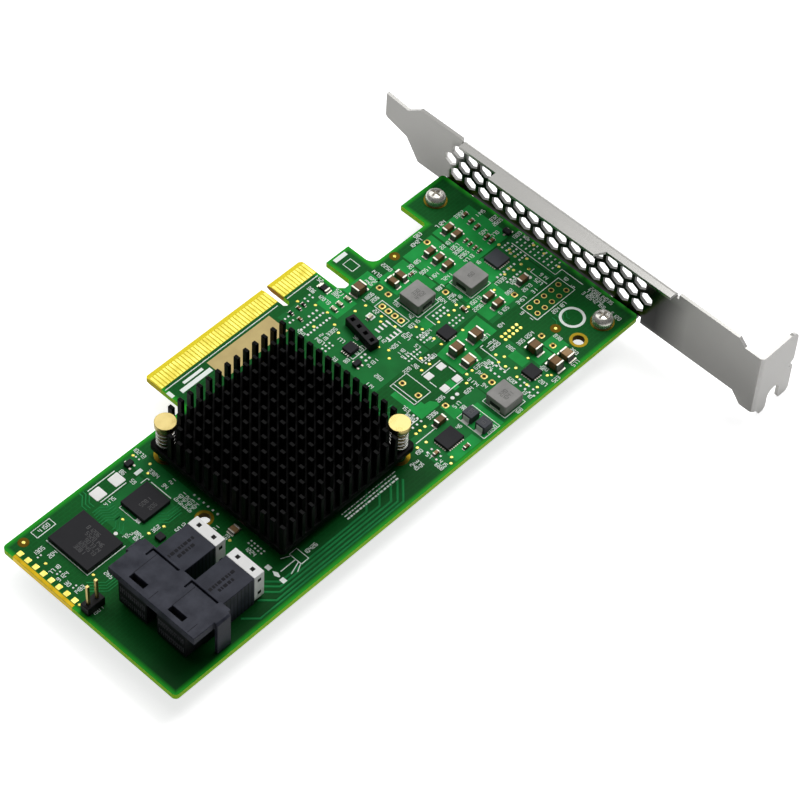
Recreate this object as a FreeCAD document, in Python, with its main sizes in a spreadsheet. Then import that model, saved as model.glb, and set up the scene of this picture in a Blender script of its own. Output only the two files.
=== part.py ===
import FreeCAD, Part
import math
import os
import re

import Sketcher
from FreeCAD import Vector

# Storage adapter card: a low board with an edge connector, a perforated bracket, a pin heatsink
# on two sprung push pins, and a double cable port.
# X runs along the board towards the bracket, Y towards the tips of the edge contacts, Z up.
# The origin is the middle of the key notch, on the line of the contact tips, at the component face.

# Driving dimensions in millimetres
SIZES = (
    # Board
    ("board_thickness", 1.57),
    ("board_left", 95.3),
    ("board_right", 57.15),
    ("board_front", 68.9),
    ("board_back", 13.3),
    ("board_corner", 1.2),
    ("tongue_left", 39.15),
    ("tongue_right", 12.15),
    ("tongue_corner", 0.6),
    ("key_width", 1.9),
    ("key_depth", 8.0),
    ("hook_slot", 3.85),
    ("hook_slot_depth", 13.9),
    ("hook_slot_corner", 1.4),
    ("hook_width", 7.55),
    ("hook_inset", 5.0),
    ("hook_root", 2.6),
    ("ear_width", 15.0),
    ("ear_inset", 4.9),
    ("tip_bevel_length", 1.3),
    ("tip_bevel_depth", 0.4),
    ("tooling_hole", 2.9),
    ("tooling_front_inset", 5.2),
    ("tooling_bracket_inset", 15.85),
    ("tooling_left_inset", 37.5),
    ("tooling_left_depth", 39.1),
    # Edge contacts
    ("contact_pitch", 1.0),
    ("contact_width", 0.7),
    ("contact_length", 4.1),
    ("contact_inset", 1.4),
    ("contact_thickness", 0.05),
    ("contact_first", 1.5),
    ("contact_short_count", 11),
    ("contact_long_count", 38),
    # Bracket
    ("sheet_thickness", 0.86),
    ("bracket_gap", 0.85),
    ("bracket_low", 3.21),
    ("bracket_width", 18.42),
    ("bracket_tip", 15.7),
    ("bracket_length", 120.02),
    ("tongue_low", 4.6),
    ("tongue_high", 12.7),
    ("tongue_tip_cut", 0.7),
    ("tongue_root", 8.4),
    ("tongue_root_low", 2.8),
    ("shoulder", 4.3),
    ("tab_zone", 7.5),
    ("tab_zone_slant", 2.6),
    ("tab_zone_drop", 3.18),
    ("tab_zone_step", 2.0),
    ("tab_depth", 13.6),
    ("tab_low", 8.6),
    ("tab_corner", 3.0),
    ("lobe_slant", 1.5),
    ("lobe_round", 1.2),
    ("tab_notch_level", 1.6),
    ("tab_notch_width", 2.6),
    ("tab_notch_depth", 2.0),
    ("screw_slot_width", 4.42),
    ("screw_slot_place", 7.2),
    ("screw_slot_end", 2.4),
    ("screw_slot_round", 2.17),
    ("bend_radius", 0.4),
    ("lip_start", 10.4),
    ("lip_end", 77.7),
    ("lip_narrow", 2.2),
    ("lip_wide", 4.94),
    ("lip_wide_start", 22.5),
    ("lip_wide_end", 57.8),
    ("lip_step_slant", 1.6),
    ("relief", 1.0),
    ("lip_relief_depth", 1.5),
    ("vent_flat", 3.5),
    ("vent_pitch", 4.52),
    ("vent_first", 6.3),
    ("vent_level", 6.1),
    ("vent_count", 15),
    ("foot_width", 8.0),
    ("foot_reach", 4.4),
    ("foot_corner", 2.0),
    # Bracket screws
    ("screw_inset", 7.55),
    ("screw_back", 9.5),
    ("screw_front_inset", 5.0),
    ("screw_shank", 2.9),
    ("screw_fit", 0.1),
    ("screw_board_hole", 3.4),
    ("screw_head", 5.2),
    ("screw_head_height", 2.7),
    ("screw_length", 4.6),
    # Controller, pad and heatsink
    ("sink_place_x", 32.8),
    ("sink_place_y", 38.8),
    ("controller_side", 31.0),
    ("controller_height", 2.4),
    ("pad_side", 20.0),
    ("pad_thickness", 0.3),
    ("sink_side", 43.0),
    ("sink_base", 1.7),
    ("sink_height", 9.6),
    ("sink_corner", 1.2),
    ("fin_pitch", 2.96),
    ("fin_count", 15),
    ("fin_thickness", 1.0),
    ("fin_length", 1.5),
    ("sink_cleared_pins", 2),
    # Push pins and their springs
    ("push_pin_place", 18.65),
    ("push_pin_shank", 2.8),
    ("push_pin_fit", 0.3),
    ("push_pin_head", 5.2),
    ("push_pin_head_height", 1.6),
    ("push_pin_level", 12.3),
    ("push_pin_barb", 3.8),
    ("push_pin_tail", 2.9),
    ("push_pin_prong", 2.0),
    ("push_pin_split", 0.7),
    ("spring_diameter", 4.0),
    ("spring_wire", 0.5),
    ("spring_turns", 4.5),
    # Double cable port
    ("port_inset", 8.0),
    ("port_front_inset", 15.85),
    ("port_pitch", 12.1),
    ("port_width", 8.9),
    ("hood_width", 26.8),
    ("hood_depth", 11.0),
    ("hood_top", 11.0),
    ("hood_plate", 2.2),
    ("hood_ear_thickness", 0.95),
    ("hood_ear_place", 6.1),
    ("hood_ear_length", 4.1),
    ("hood_edge", 0.5),
    ("window_place", 2.2),
    ("window_depth", 1.5),
    ("window_width", 4.5),
    ("groove_width", 0.5),
    ("groove_depth", 0.8),
    ("groove_span", 8.3),
    ("groove_leg", 2.4),
    ("groove_inset", 0.5),
    ("socket_setback", 0.2),
    ("socket_lift", 0.9),
    ("mating_slot_width", 7.6),
    ("mating_slot_height", 1.0),
    ("mating_slot_depth", 4.5),
    ("mating_slot_level", 2.9),
    ("mating_slot_pitch", 3.3),
    ("wafer_length", 10.1),
    ("wafer_height", 9.5),
    ("clip_length", 3.0),
    ("clip_lift", 1.0),
    ("clip_hole", 0.9),
    ("clip_hole_depth", 0.8),
    ("clip_hole_pitch", 4.6),
    # Pin headers
    ("header_pitch", 2.54),
    ("header_width", 2.54),
    ("header_height", 2.5),
    ("header_inset", 3.45),
    ("header_depth", 39.3),
    ("header_pin", 0.64),
    ("header_pin_top", 9.0),
    ("strip_count", 4),
    ("strip_height", 2.5),
    ("strip_turn", 10.0),
    ("strip_place_x", 5.6),
    ("strip_place_y", 27.0),
    ("strip_socket", 1.0),
    ("strip_socket_depth", 1.6),
    # Chip packages
    ("memory_x", 10.8),
    ("memory_y", 12.9),
    ("memory_height", 1.2),
    ("flash_x", 8.2),
    ("flash_y", 7.7),
    ("flash_height", 1.2),
    ("regulator_side", 4.5),
    ("converter_side", 3.6),
    ("driver_x", 5.6),
    ("driver_y", 4.4),
    ("package_height", 0.9),
    ("clock_side", 1.9),
    ("logic_x", 3.0),
    ("logic_y", 2.8),
    ("logic_height", 1.2),
    ("package_lift", 0.1),
    ("lead_reach", 0.6),
    ("lead_width", 0.28),
    ("lead_height", 0.45),
    ("logic_lead_pitch", 0.65),
    # Coils and chokes
    ("inductor_side", 6.3),
    ("inductor_height", 3.0),
    ("inductor_corner", 0.25),
    ("terminal_width", 3.0),
    ("terminal_height", 1.7),
    ("terminal_thickness", 0.15),
    ("choke_length", 3.0),
    ("choke_width", 3.0),
    ("choke_height", 2.2),
    ("choke_terminal", 1.8),
    # Capacitors, with the length from terminal to terminal
    ("bulk_length", 3.2),
    ("bulk_width", 2.5),
    ("bulk_height", 2.4),
    ("flat_length", 3.0),
    ("flat_width", 2.4),
    ("flat_height", 1.6),
    ("chip_length", 3.0),
    ("chip_width", 1.55),
    ("chip_height", 1.6),
)

NAMES = {name for name, number in SIZES}
SPRING_STEPS_PER_TURN = 6
SPRING_WIRE_SIDES = 4
LOGIC_LEADS_A_SIDE = 4
TOUCH = 1e-3

doc = FreeCAD.newDocument("adapter_card")
sheet = doc.addObject("Spreadsheet::Sheet", "Sizes")
for row_number, (size_name, size_number) in enumerate(SIZES, start=1):
    sheet.set("A%d" % row_number, size_name)
    sheet.set("B%d" % row_number, str(size_number))
    sheet.setAlias("B%d" % row_number, size_name)
doc.recompute()

nodes = []


def formula(text):
    """Put the sheet's name before each size name in an expression."""
    def full_name(word):
        return "Sizes." + word.group() if word.group() in NAMES else word.group()

    return re.sub(r"[a-z_]\w*", full_name, text)


def value(text):
    """The number that an expression of size names has now."""
    return float(sheet.evalExpression(formula(text)))


def bind(thing, **properties):
    """Bind properties of an object to expressions of size names."""
    for name, text in properties.items():
        thing.setExpression(name, formula(text))


def place(thing, x="0", y="0", z="0"):
    """Bind the position of an object."""
    for axis, text in (("x", x), ("y", y), ("z", z)):
        thing.setExpression("Placement.Base." + axis, formula(text))


def node(thing, label):
    """Enter a finished sub-part in the list of pieces."""
    thing.Label = label
    nodes.append(thing)
    return thing


def new_body(label, several=False):
    """An empty body for a sub-part, with several solids if it is a group."""
    body = doc.addObject("PartDesign::Body", label + "_body")
    body.AllowCompound = several
    return node(body, label)


def origin_feature(body, role):
    return next(feature for feature in body.Origin.OriginFeatures if feature.Role == role)


def new_sketch(body, name, role, level="0"):
    """A sketch on one of the body's own origin planes, moved along its normal by an expression."""
    sketch = body.newObject("Sketcher::SketchObject", name)
    sketch.AttachmentSupport = (origin_feature(body, role), [""])
    sketch.MapMode = "FlatFace"
    sketch.setExpression("AttachmentOffset.Base.z", formula(level))
    return sketch


def hold(sketch, kind, geometry, point, text):
    """Hold one coordinate of a point of the sketch at an expression."""
    index = sketch.addConstraint(Sketcher.Constraint(kind, -1, 1, geometry, point, value(text)))
    sketch.setExpression("Constraints[%d]" % index, formula(text))


def outline(sketch, corners):
    """A closed loop of straight edges whose corners are pairs of expressions."""
    points = [Vector(value(x), value(y), 0) for x, y in corners]
    first = sketch.GeometryCount
    count = len(points)
    for i, point in enumerate(points):
        sketch.addGeometry(Part.LineSegment(point, points[(i + 1) % count]), False)
    for i in range(count):
        sketch.addConstraint(Sketcher.Constraint("Coincident", first + i, 2, first + (i + 1) % count, 1))
    for i, (x, y) in enumerate(corners):
        hold(sketch, "DistanceX", first + i, 1, x)
        hold(sketch, "DistanceY", first + i, 1, y)


def rectangle(sketch, x_low, x_high, y_low, y_high):
    outline(sketch, [(x_low, y_low), (x_high, y_low), (x_high, y_high), (x_low, y_high)])


def circle(sketch, x, y, diameter):
    ring = Part.Circle(Vector(value(x), value(y), 0), Vector(0, 0, 1), value(diameter) / 2)
    index = sketch.addGeometry(ring, False)
    hold(sketch, "DistanceX", index, 3, x)
    hold(sketch, "DistanceY", index, 3, y)
    held = sketch.addConstraint(Sketcher.Constraint("Diameter", index, value(diameter)))
    sketch.setExpression("Constraints[%d]" % held, formula(diameter))


def extrude(body, kind, sketch, length, reverse):
    feature = body.newObject("PartDesign::" + kind, sketch.Name + "_" + kind.lower())
    feature.Profile = sketch
    feature.Reversed = reverse
    bind(feature, Length=length)
    return feature


def pad(body, sketch, length, reverse=False):
    """Add material along the sketch's normal, or against it."""
    feature = extrude(body, "Pad", sketch, length, reverse)
    doc.recompute()
    return feature


def pocket(body, sketch, depth, reverse=False):
    """Cut material against the sketch's normal, or along it, and see that some went."""
    before = body.Shape.Volume
    feature = extrude(body, "Pocket", sketch, depth, reverse)
    doc.recompute()
    if body.Shape.Volume >= before:
        raise ValueError("nothing was cut by " + feature.Name)
    return feature


def repeat(body, feature, axis, pitch, count, reverse=False):
    """A straight row of copies of a feature."""
    pattern = body.newObject("PartDesign::LinearPattern", feature.Name + "_row")
    pattern.Originals = [feature]
    pattern.Direction = (origin_feature(body, axis), [""])
    pattern.Reversed = reverse
    pattern.Mode = "Spacing"
    bind(pattern, Offset=pitch, Occurrences=count)
    body.Tip = pattern
    doc.recompute()
    return pattern


def revolve(body, sketch, axis):
    """Turn a profile about an axis or an edge of its own sketch."""
    feature = body.newObject("PartDesign::Revolution", sketch.Name + "_turned")
    feature.Profile = sketch
    feature.ReferenceAxis = (sketch, [axis])
    feature.Angle = 360
    doc.recompute()
    return feature


def edges_along(feature, direction, points):
    """Names of the straight edges along a direction that any of the points lies on."""
    names = []
    for number, edge in enumerate(feature.Shape.Edges, start=1):
        ends = [vertex.Point for vertex in edge.Vertexes]
        if len(ends) != 2 or (ends[1] - ends[0]).cross(direction).Length > TOUCH:
            continue
        on_line = [point for point in points if (ends[0] - point).cross(direction).Length < TOUCH]
        if any((point - ends[0]).dot(ends[1] - point) > 0 for point in on_line):
            names.append("Edge%d" % number)
    return names


def round_edges(body, direction, corners, radius, kind="Fillet"):
    """Round or bevel the edges along a direction through corners given as expressions."""
    base = body.Tip
    points = [Vector(value(x), value(y), value(z)) for x, y, z in corners]
    names = edges_along(base, direction, points)
    if len(names) < len(points):
        raise ValueError("an edge to round is missing on " + body.Label)
    feature = body.newObject("PartDesign::" + kind, "%s_%s%d" % (body.Name, kind.lower(), len(body.Group)))
    feature.Base = (base, names)
    size_property = "Radius" if kind == "Fillet" else "Size"
    bind(feature, **{size_property: radius})
    doc.recompute()
    return feature


def block(name, x, y, z, length, width, height):
    """A rectangular block centred on x and y, standing on z."""
    box = doc.addObject("Part::Box", name)
    bind(box, Length=length, Width=width, Height=height)
    place(box, "%s - (%s) / 2" % (x, length), "%s - (%s) / 2" % (y, width), z)
    return box


def group(label, pieces):
    """Several separate solids in one node."""
    compound = doc.addObject("Part::Compound", label + "_group")
    compound.Links = pieces
    return node(compound, label)


ALONG_X = Vector(1, 0, 0)
ALONG_Y = Vector(0, 1, 0)
UPRIGHT = Vector(0, 0, 1)

# Places shared by pieces that meet
BRACKET_FACE = "(board_right + bracket_gap)"
BRACKET_TOP = "(bracket_width - bracket_low)"
TAB_FACE = "(bracket_tip - bracket_length)"
SCREW_X = "(board_right - screw_inset)"
SCREWS_Y = ("(-screw_back)", "(screw_front_inset - board_front)")
SINK_X = "(-sink_place_x)"
SINK_Y = "(-sink_place_y)"
SINK_LEVEL = "(controller_height + pad_thickness)"
SINK_FLOOR = "(controller_height + pad_thickness + sink_base)"
PUSH_PINS = (
    ("(-sink_place_x - push_pin_place)", "(push_pin_place - sink_place_y)"),
    ("(push_pin_place - sink_place_x)", "(-push_pin_place - sink_place_y)"),
)
PUSH_PIN_HOLE = "(push_pin_shank + push_pin_fit)"
PORT_FACE = "(port_inset - board_left)"
PORT_MIDDLE = "(port_front_inset - board_front)"
PORTS = (
    ("back", "(%s + port_pitch / 2)" % PORT_MIDDLE),
    ("front", "(%s - port_pitch / 2)" % PORT_MIDDLE),
)
HOOD_REAR = "(%s + hood_depth)" % PORT_FACE
HOOD_UNDER = "(hood_top - hood_plate)"
WAFER_REAR = "(%s + wafer_length)" % HOOD_REAR
HEADER_X = "(header_inset - board_left)"
HEADER_Y = "(-header_depth)"


def from_key(x, y):
    """A place measured from the key notch."""
    return "(%s)" % x, "(%s)" % y


def from_bracket_edge(inset, y):
    """A place measured from the board's edge at the bracket."""
    return "(board_right - %s)" % inset, "(%s)" % y


def from_front_edge(x, inset):
    """A place measured from the board's long front edge."""
    return "(%s)" % x, "(%s - board_front)" % inset


def from_left_end(inset, y):
    """A place measured from the board's end at the cable ports."""
    return "(%s - board_left)" % inset, "(%s)" % y


def make_board():
    """The board with its contact tongue, key notch, hook, bracket ear and holes."""
    body = new_body("circuit_board")
    hook = "(tongue_right + hook_slot)"
    hook_end = "(tongue_right + hook_slot + hook_width)"
    ear = "(board_right - ear_width)"
    middle = "-board_thickness / 2"
    edge = new_sketch(body, "board_outline", "XY_Plane")
    outline(edge, [
        ("-board_left", "-board_front"),
        ("board_right", "-board_front"),
        ("board_right", "-ear_inset"),
        (ear, "-ear_inset"),
        (ear, "-board_back"),
        (hook_end, "-board_back"),
        (hook_end, "-hook_inset"),
        (hook, "-hook_inset"),
        (hook, "-hook_slot_depth"),
        ("tongue_right", "-hook_slot_depth"),
        ("tongue_right", "0"),
        ("key_width / 2", "0"),
        ("key_width / 2", "-key_depth"),
        ("-key_width / 2", "-key_depth"),
        ("-key_width / 2", "0"),
        ("-tongue_left", "0"),
        ("-tongue_left", "-board_back"),
        ("-board_left", "-board_back"),
    ])
    pad(body, edge, "board_thickness", reverse=True)
    round_edges(body, UPRIGHT, [
        (hook, "-hook_slot_depth", middle),
        ("tongue_right", "-hook_slot_depth", middle),
    ], "hook_slot_corner", kind="Chamfer")
    round_edges(body, UPRIGHT, [(hook_end, "-board_back", middle)], "hook_root")
    round_edges(body, UPRIGHT, [
        ("-board_left", "-board_front", middle),
        ("board_right", "-board_front", middle),
        ("-board_left", "-board_back", middle),
    ], "board_corner")
    round_edges(body, UPRIGHT, [
        ("-tongue_left", "0", middle),
        ("tongue_right", "0", middle),
        ("board_right", "-ear_inset", middle),
        ("-tongue_left", "-board_back", middle),
        (ear, "-board_back", middle),
        ("-key_width / 2", "-key_depth", middle),
        ("key_width / 2", "-key_depth", middle),
    ], "tongue_corner", kind="Chamfer")
    holes = new_sketch(body, "board_holes", "XY_Plane")
    for y in SCREWS_Y:
        circle(holes, SCREW_X, y, "screw_board_hole")
    for x, y in PUSH_PINS:
        circle(holes, x, y, PUSH_PIN_HOLE)
    circle(holes, "board_right - tooling_bracket_inset", "tooling_front_inset - board_front",
           "tooling_hole")
    circle(holes, "tooling_left_inset - board_left", "-tooling_left_depth", "tooling_hole")
    pocket(body, holes, "board_thickness")
    tips = new_sketch(body, "tip_bevels", "YZ_Plane", "-tongue_left")
    under = "-board_thickness"
    for face, inward in (("0", "-tip_bevel_depth"), (under, under + " + tip_bevel_depth")):
        outline(tips, [("-tip_bevel_length", face), ("0", face), ("0", inward)])
    pocket(body, tips, "tongue_left + tongue_right", reverse=True)


def make_contacts(label, level):
    """The row of gilt contacts on one face of the tongue, in two runs beside the key notch."""
    body = new_body(label, several=True)
    for name, side, count in (("short", "1", "contact_short_count"), ("long", "-1", "contact_long_count")):
        blade = new_sketch(body, label + "_" + name, "XY_Plane", level)
        middle = "%s * contact_first" % side
        rectangle(blade, middle + " - contact_width / 2", middle + " + contact_width / 2",
                  "-contact_inset - contact_length", "-contact_inset")
        strip = pad(body, blade, "contact_thickness")
        repeat(body, strip, "X_Axis", "contact_pitch", count, reverse=side == "-1")


def vent_row(body, name, first, level, count):
    """A row of hexagonal holes with upright flats, cut through the bracket's face."""
    hexagon = new_sketch(body, name, "YZ_Plane", BRACKET_FACE)
    half = "vent_flat / 2"
    corner = "vent_flat / sqrt(3)"
    outline(hexagon, [
        ("%s + %s" % (first, half), "%s - %s / 2" % (level, corner)),
        ("%s + %s" % (first, half), "%s + %s / 2" % (level, corner)),
        (first, "%s + %s" % (level, corner)),
        ("%s - %s" % (first, half), "%s + %s / 2" % (level, corner)),
        ("%s - %s" % (first, half), "%s - %s / 2" % (level, corner)),
        (first, "%s - %s" % (level, corner)),
    ])
    hole = pocket(body, hexagon, "sheet_thickness", reverse=True)
    repeat(body, hole, "Y_Axis", "vent_pitch", count, reverse=True)


def make_bracket():
    """The folded bracket: slotted tab, tongue, stiffening lip, two feet under the board, and vents."""
    body = new_body("bracket")
    outer = "(%s + sheet_thickness)" % BRACKET_FACE
    low = "(-bracket_low)"
    zone = "(%s + tab_zone)" % TAB_FACE
    zone_high = "(%s - tab_zone_step)" % BRACKET_TOP
    zone_low = "(-bracket_low - tab_zone_drop)"

    face = new_sketch(body, "bracket_face", "YZ_Plane", BRACKET_FACE)
    outline(face, [
        ("bracket_tip", "tongue_low + tongue_tip_cut"),
        ("bracket_tip", "tongue_high"),
        ("tongue_root", "tongue_high - tongue_tip_cut"),
        ("shoulder", BRACKET_TOP),
        (zone, BRACKET_TOP),
        ("%s - tab_zone_step" % zone, zone_high),
        (TAB_FACE, zone_high),
        (TAB_FACE, zone_low),
        ("%s - tab_zone_slant - tongue_tip_cut" % zone, zone_low),
        ("%s - tongue_tip_cut" % zone, low),
        ("shoulder", low),
        ("tongue_root", "tongue_root_low"),
        ("bracket_tip - tongue_tip_cut", "tongue_low"),
    ])
    pad(body, face, "sheet_thickness")

    tab = new_sketch(body, "bracket_tab", "XZ_Plane", "-" + TAB_FACE)
    tab_end = "(%s + tab_depth)" % BRACKET_FACE
    slot = "(%s + screw_slot_place)" % BRACKET_FACE
    slot_near = "(%s - screw_slot_width / 2)" % slot
    slot_far = "(%s + screw_slot_width / 2)" % slot
    bend_end = "(%s + bend_radius)" % outer
    outline(tab, [
        (BRACKET_FACE, zone_high),
        (tab_end, zone_high),
        (tab_end, "tab_notch_level + tab_notch_width / 2"),
        ("%s - tab_notch_depth" % tab_end, "tab_notch_level - tab_notch_width / 4"),
        (tab_end, "tab_notch_level - tab_notch_width / 2"),
        (tab_end, "-tab_low"),
        (slot_far, "-tab_low"),
        (slot_far, "-screw_slot_end"),
        (slot_near, "-screw_slot_end"),
        (slot_near, "-tab_low"),
        ("%s + lobe_slant" % bend_end, "-tab_low"),
        (bend_end, zone_low),
        (BRACKET_FACE, zone_low),
    ])
    pad(body, tab, "sheet_thickness", reverse=True)

    lip = new_sketch(body, "bracket_lip", "XY_Plane", BRACKET_TOP)
    narrow = "(%s - lip_narrow)" % BRACKET_FACE
    wide = "(%s - lip_wide)" % BRACKET_FACE
    outline(lip, [
        (outer, "-lip_start"),
        (narrow, "-lip_start"),
        (narrow, "-lip_wide_start"),
        (wide, "-lip_wide_start"),
        (wide, "lip_step_slant - lip_wide_end"),
        (narrow, "-lip_wide_end"),
        (narrow, "-lip_end"),
        (outer, "-lip_end"),
    ])
    pad(body, lip, "sheet_thickness", reverse=True)

    feet = new_sketch(body, "bracket_feet", "XY_Plane", "-board_thickness")
    for y in SCREWS_Y:
        rectangle(feet, "%s - foot_reach" % SCREW_X, outer,
                  "%s - foot_width / 2" % y, "%s + foot_width / 2" % y)
    pad(body, feet, "sheet_thickness", reverse=True)

    reliefs = new_sketch(body, "bracket_reliefs", "YZ_Plane", BRACKET_FACE)
    rectangle(reliefs, "-lip_start", "relief - lip_start", BRACKET_TOP + " - lip_relief_depth", BRACKET_TOP)
    rectangle(reliefs, "-lip_end - relief", "-lip_end", BRACKET_TOP + " - lip_relief_depth", BRACKET_TOP)
    foot_under = "(-board_thickness - sheet_thickness)"
    for y in SCREWS_Y:
        foot_low = "(%s - foot_width / 2)" % y
        foot_high = "(%s + foot_width / 2)" % y
        outline(reliefs, [
            (foot_low + " - relief", low),
            (foot_high + " + relief", low),
            (foot_high + " + relief", "-board_thickness + relief / 2"),
            (foot_high, "-board_thickness + relief / 2"),
            (foot_high, foot_under),
            (foot_low, foot_under),
            (foot_low, "-board_thickness + relief / 2"),
            (foot_low + " - relief", "-board_thickness + relief / 2"),
        ])
    pocket(body, reliefs, "sheet_thickness", reverse=True)

    screw_holes = new_sketch(body, "foot_holes", "XY_Plane", "-board_thickness")
    for y in SCREWS_Y:
        circle(screw_holes, SCREW_X, y, "screw_shank + screw_fit")
    pocket(body, screw_holes, "sheet_thickness")

    outside = "bend_radius + sheet_thickness"
    tab_middle = "%s + sheet_thickness / 2" % TAB_FACE
    foot_middle = "%s + sheet_thickness / 2" % foot_under
    lip_middle = "-(lip_start + lip_wide_start) / 2"
    round_edges(body, UPRIGHT, [(BRACKET_FACE, TAB_FACE, "0")], outside)
    round_edges(body, UPRIGHT, [(outer, TAB_FACE + " + sheet_thickness", "0")], "bend_radius")
    round_edges(body, ALONG_Y, [(outer, lip_middle, BRACKET_TOP)], outside)
    lip_under = BRACKET_TOP + " - sheet_thickness"
    round_edges(body, ALONG_Y, [(BRACKET_FACE, lip_middle, lip_under)], "bend_radius")
    round_edges(body, ALONG_Y, [(outer, y, foot_under) for y in SCREWS_Y], "bend_radius", kind="Chamfer")
    round_edges(body, ALONG_Y, [(tab_end, tab_middle, zone_high)], "tab_corner")
    round_edges(body, ALONG_Y, [
        (tab_end, tab_middle, "-tab_low"),
        (slot_far, tab_middle, "-tab_low"),
        (slot_near, tab_middle, "-tab_low"),
    ], "lobe_round")
    round_edges(body, ALONG_Y, [
        (slot_far, tab_middle, "-screw_slot_end"),
        (slot_near, tab_middle, "-screw_slot_end"),
    ], "screw_slot_round")
    round_edges(body, UPRIGHT, [
        ("%s - foot_reach" % SCREW_X, "%s %s foot_width / 2" % (y, side), foot_middle)
        for y in SCREWS_Y for side in "+-"
    ], "foot_corner", kind="Chamfer")

    lower_first = "(-vent_first - vent_pitch / 2)"
    row_pitch = "vent_pitch * sqrt(3) / 2"
    vent_row(body, "vents_middle", "(-vent_first)", "vent_level", "vent_count")
    vent_row(body, "vents_lower", lower_first, "(vent_level - %s)" % row_pitch, "vent_count - 1")
    vent_row(body, "vents_upper", lower_first, "(vent_level + %s)" % row_pitch, "vent_count - 1")


def make_bracket_screws():
    """Two round headed screws through the board into the bracket's feet."""
    body = new_body("bracket_screws", several=True)
    place(body, SCREW_X, SCREWS_Y[0])
    profile = new_sketch(body, "screw_profile", "XZ_Plane")
    outline(profile, [
        ("0", "-screw_length"),
        ("screw_shank / 2", "-screw_length"),
        ("screw_shank / 2", "0"),
        ("screw_head / 2", "0"),
        ("screw_head / 2", "screw_head_height"),
        ("0", "screw_head_height"),
    ])
    screw = revolve(body, profile, "V_Axis")
    repeat(body, screw, "Y_Axis", "board_front - screw_front_inset - screw_back", "2", reverse=True)


def make_heatsink():
    """A square base with rows of fins, cross cut into pins, and two corners cleared for the push pins."""
    body = new_body("heatsink")
    place(body, SINK_X, SINK_Y, SINK_LEVEL)
    half = "sink_side / 2"
    base = new_sketch(body, "sink_base", "XY_Plane")
    rectangle(base, "-" + half, half, "-" + half, half)
    pad(body, base, "sink_base")
    round_edges(body, UPRIGHT, [
        (x + half, y + half, "sink_base / 2") for x in ("", "-") for y in ("", "-")
    ], "sink_corner", kind="Chamfer")
    span = "(fin_pitch * (fin_count - 1))"
    length = "(%s + fin_length)" % span
    fin = new_sketch(body, "fin_profile", "XZ_Plane", "-%s / 2" % length)
    rectangle(fin, "-%s / 2 - fin_thickness / 2" % span, "-%s / 2 + fin_thickness / 2" % span,
              "sink_base", "sink_height")
    repeat(body, pad(body, fin, length), "X_Axis", "fin_pitch", "fin_count")
    corners = new_sketch(body, "cleared_corners", "XY_Plane", "sink_height")
    inner = "(%s / 2 - fin_pitch * (sink_cleared_pins - 0.5))" % span
    rectangle(corners, "-" + half, "-" + inner, inner, half)
    rectangle(corners, inner, half, "-" + half, "-" + inner)
    pocket(body, corners, "sink_height - sink_base")
    cut = new_sketch(body, "cross_cut", "YZ_Plane", "-" + half)
    rectangle(cut, "-%s / 2 + fin_length / 2" % span, "-%s / 2 + fin_pitch - fin_length / 2" % span,
              "sink_base", "sink_height")
    repeat(body, pocket(body, cut, "sink_side", reverse=True), "Y_Axis", "fin_pitch", "fin_count - 1")
    holes = new_sketch(body, "push_pin_holes", "XY_Plane", "sink_base")
    for x, y in (("-push_pin_place", "push_pin_place"), ("push_pin_place", "-push_pin_place")):
        circle(holes, x, y, PUSH_PIN_HOLE)
    pocket(body, holes, "sink_base")


def make_push_pins():
    """Two headed pins that pull the heatsink down, each with two barbed prongs under the board."""
    body = new_body("push_pins", several=True)
    for number, (x, y) in enumerate(PUSH_PINS):
        profile = new_sketch(body, "push_pin_profile_%d" % number, "XZ_Plane", "-" + y)
        outline(profile, [
            (x, "-board_thickness"),
            (x + " + push_pin_shank / 2", "-board_thickness"),
            (x + " + push_pin_shank / 2", "push_pin_level - push_pin_head_height"),
            (x + " + push_pin_head / 2", "push_pin_level - push_pin_head_height"),
            (x + " + push_pin_head / 2", "push_pin_level"),
            (x, "push_pin_level"),
        ])
        revolve(body, profile, "Edge6")
        prongs = new_sketch(body, "push_pin_prongs_%d" % number, "XZ_Plane", "-%s - push_pin_prong / 2" % y)
        for side in "+-":
            outline(prongs, [
                ("%s %s push_pin_split / 2" % (x, side), "-board_thickness"),
                ("%s %s push_pin_barb / 2" % (x, side), "-board_thickness"),
                ("%s %s push_pin_split / 2" % (x, side), "-board_thickness - push_pin_tail"),
            ])
        pad(body, prongs, "push_pin_prong")


def spring_solid(x, y, low, high):
    """A coil spring as a ruled skin over small wire sections set along a helix."""
    radius = value("spring_diameter") / 2
    wire = value("spring_wire") / 2
    turns = value("spring_turns")
    steps = int(round(turns * SPRING_STEPS_PER_TURN))
    rise = (high - low - 2 * wire) / steps
    sections = []
    for step in range(steps + 1):
        turn = 2 * math.pi * step / SPRING_STEPS_PER_TURN
        outward = Vector(math.cos(turn), math.sin(turn), 0)
        middle = Vector(x, y, low + wire + rise * step) + outward * radius
        corners = []
        for side in range(SPRING_WIRE_SIDES):
            angle = 2 * math.pi * side / SPRING_WIRE_SIDES
            corners.append(middle + outward * (wire * math.cos(angle)) + UPRIGHT * (wire * math.sin(angle)))
        sections.append(Part.makePolygon(corners + corners[:1]))
    return Part.makeLoft(sections, True, True)


def make_springs():
    """The coil springs between the heatsink's base and the heads of the push pins."""
    feature = doc.addObject("Part::Feature", "pin_springs_shape")
    low = value(SINK_FLOOR)
    high = value("push_pin_level - push_pin_head_height")
    feature.Shape = Part.makeCompound([spring_solid(value(x), value(y), low, high) for x, y in PUSH_PINS])
    feature.Placement = FreeCAD.Placement()
    node(feature, "pin_springs")


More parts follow.
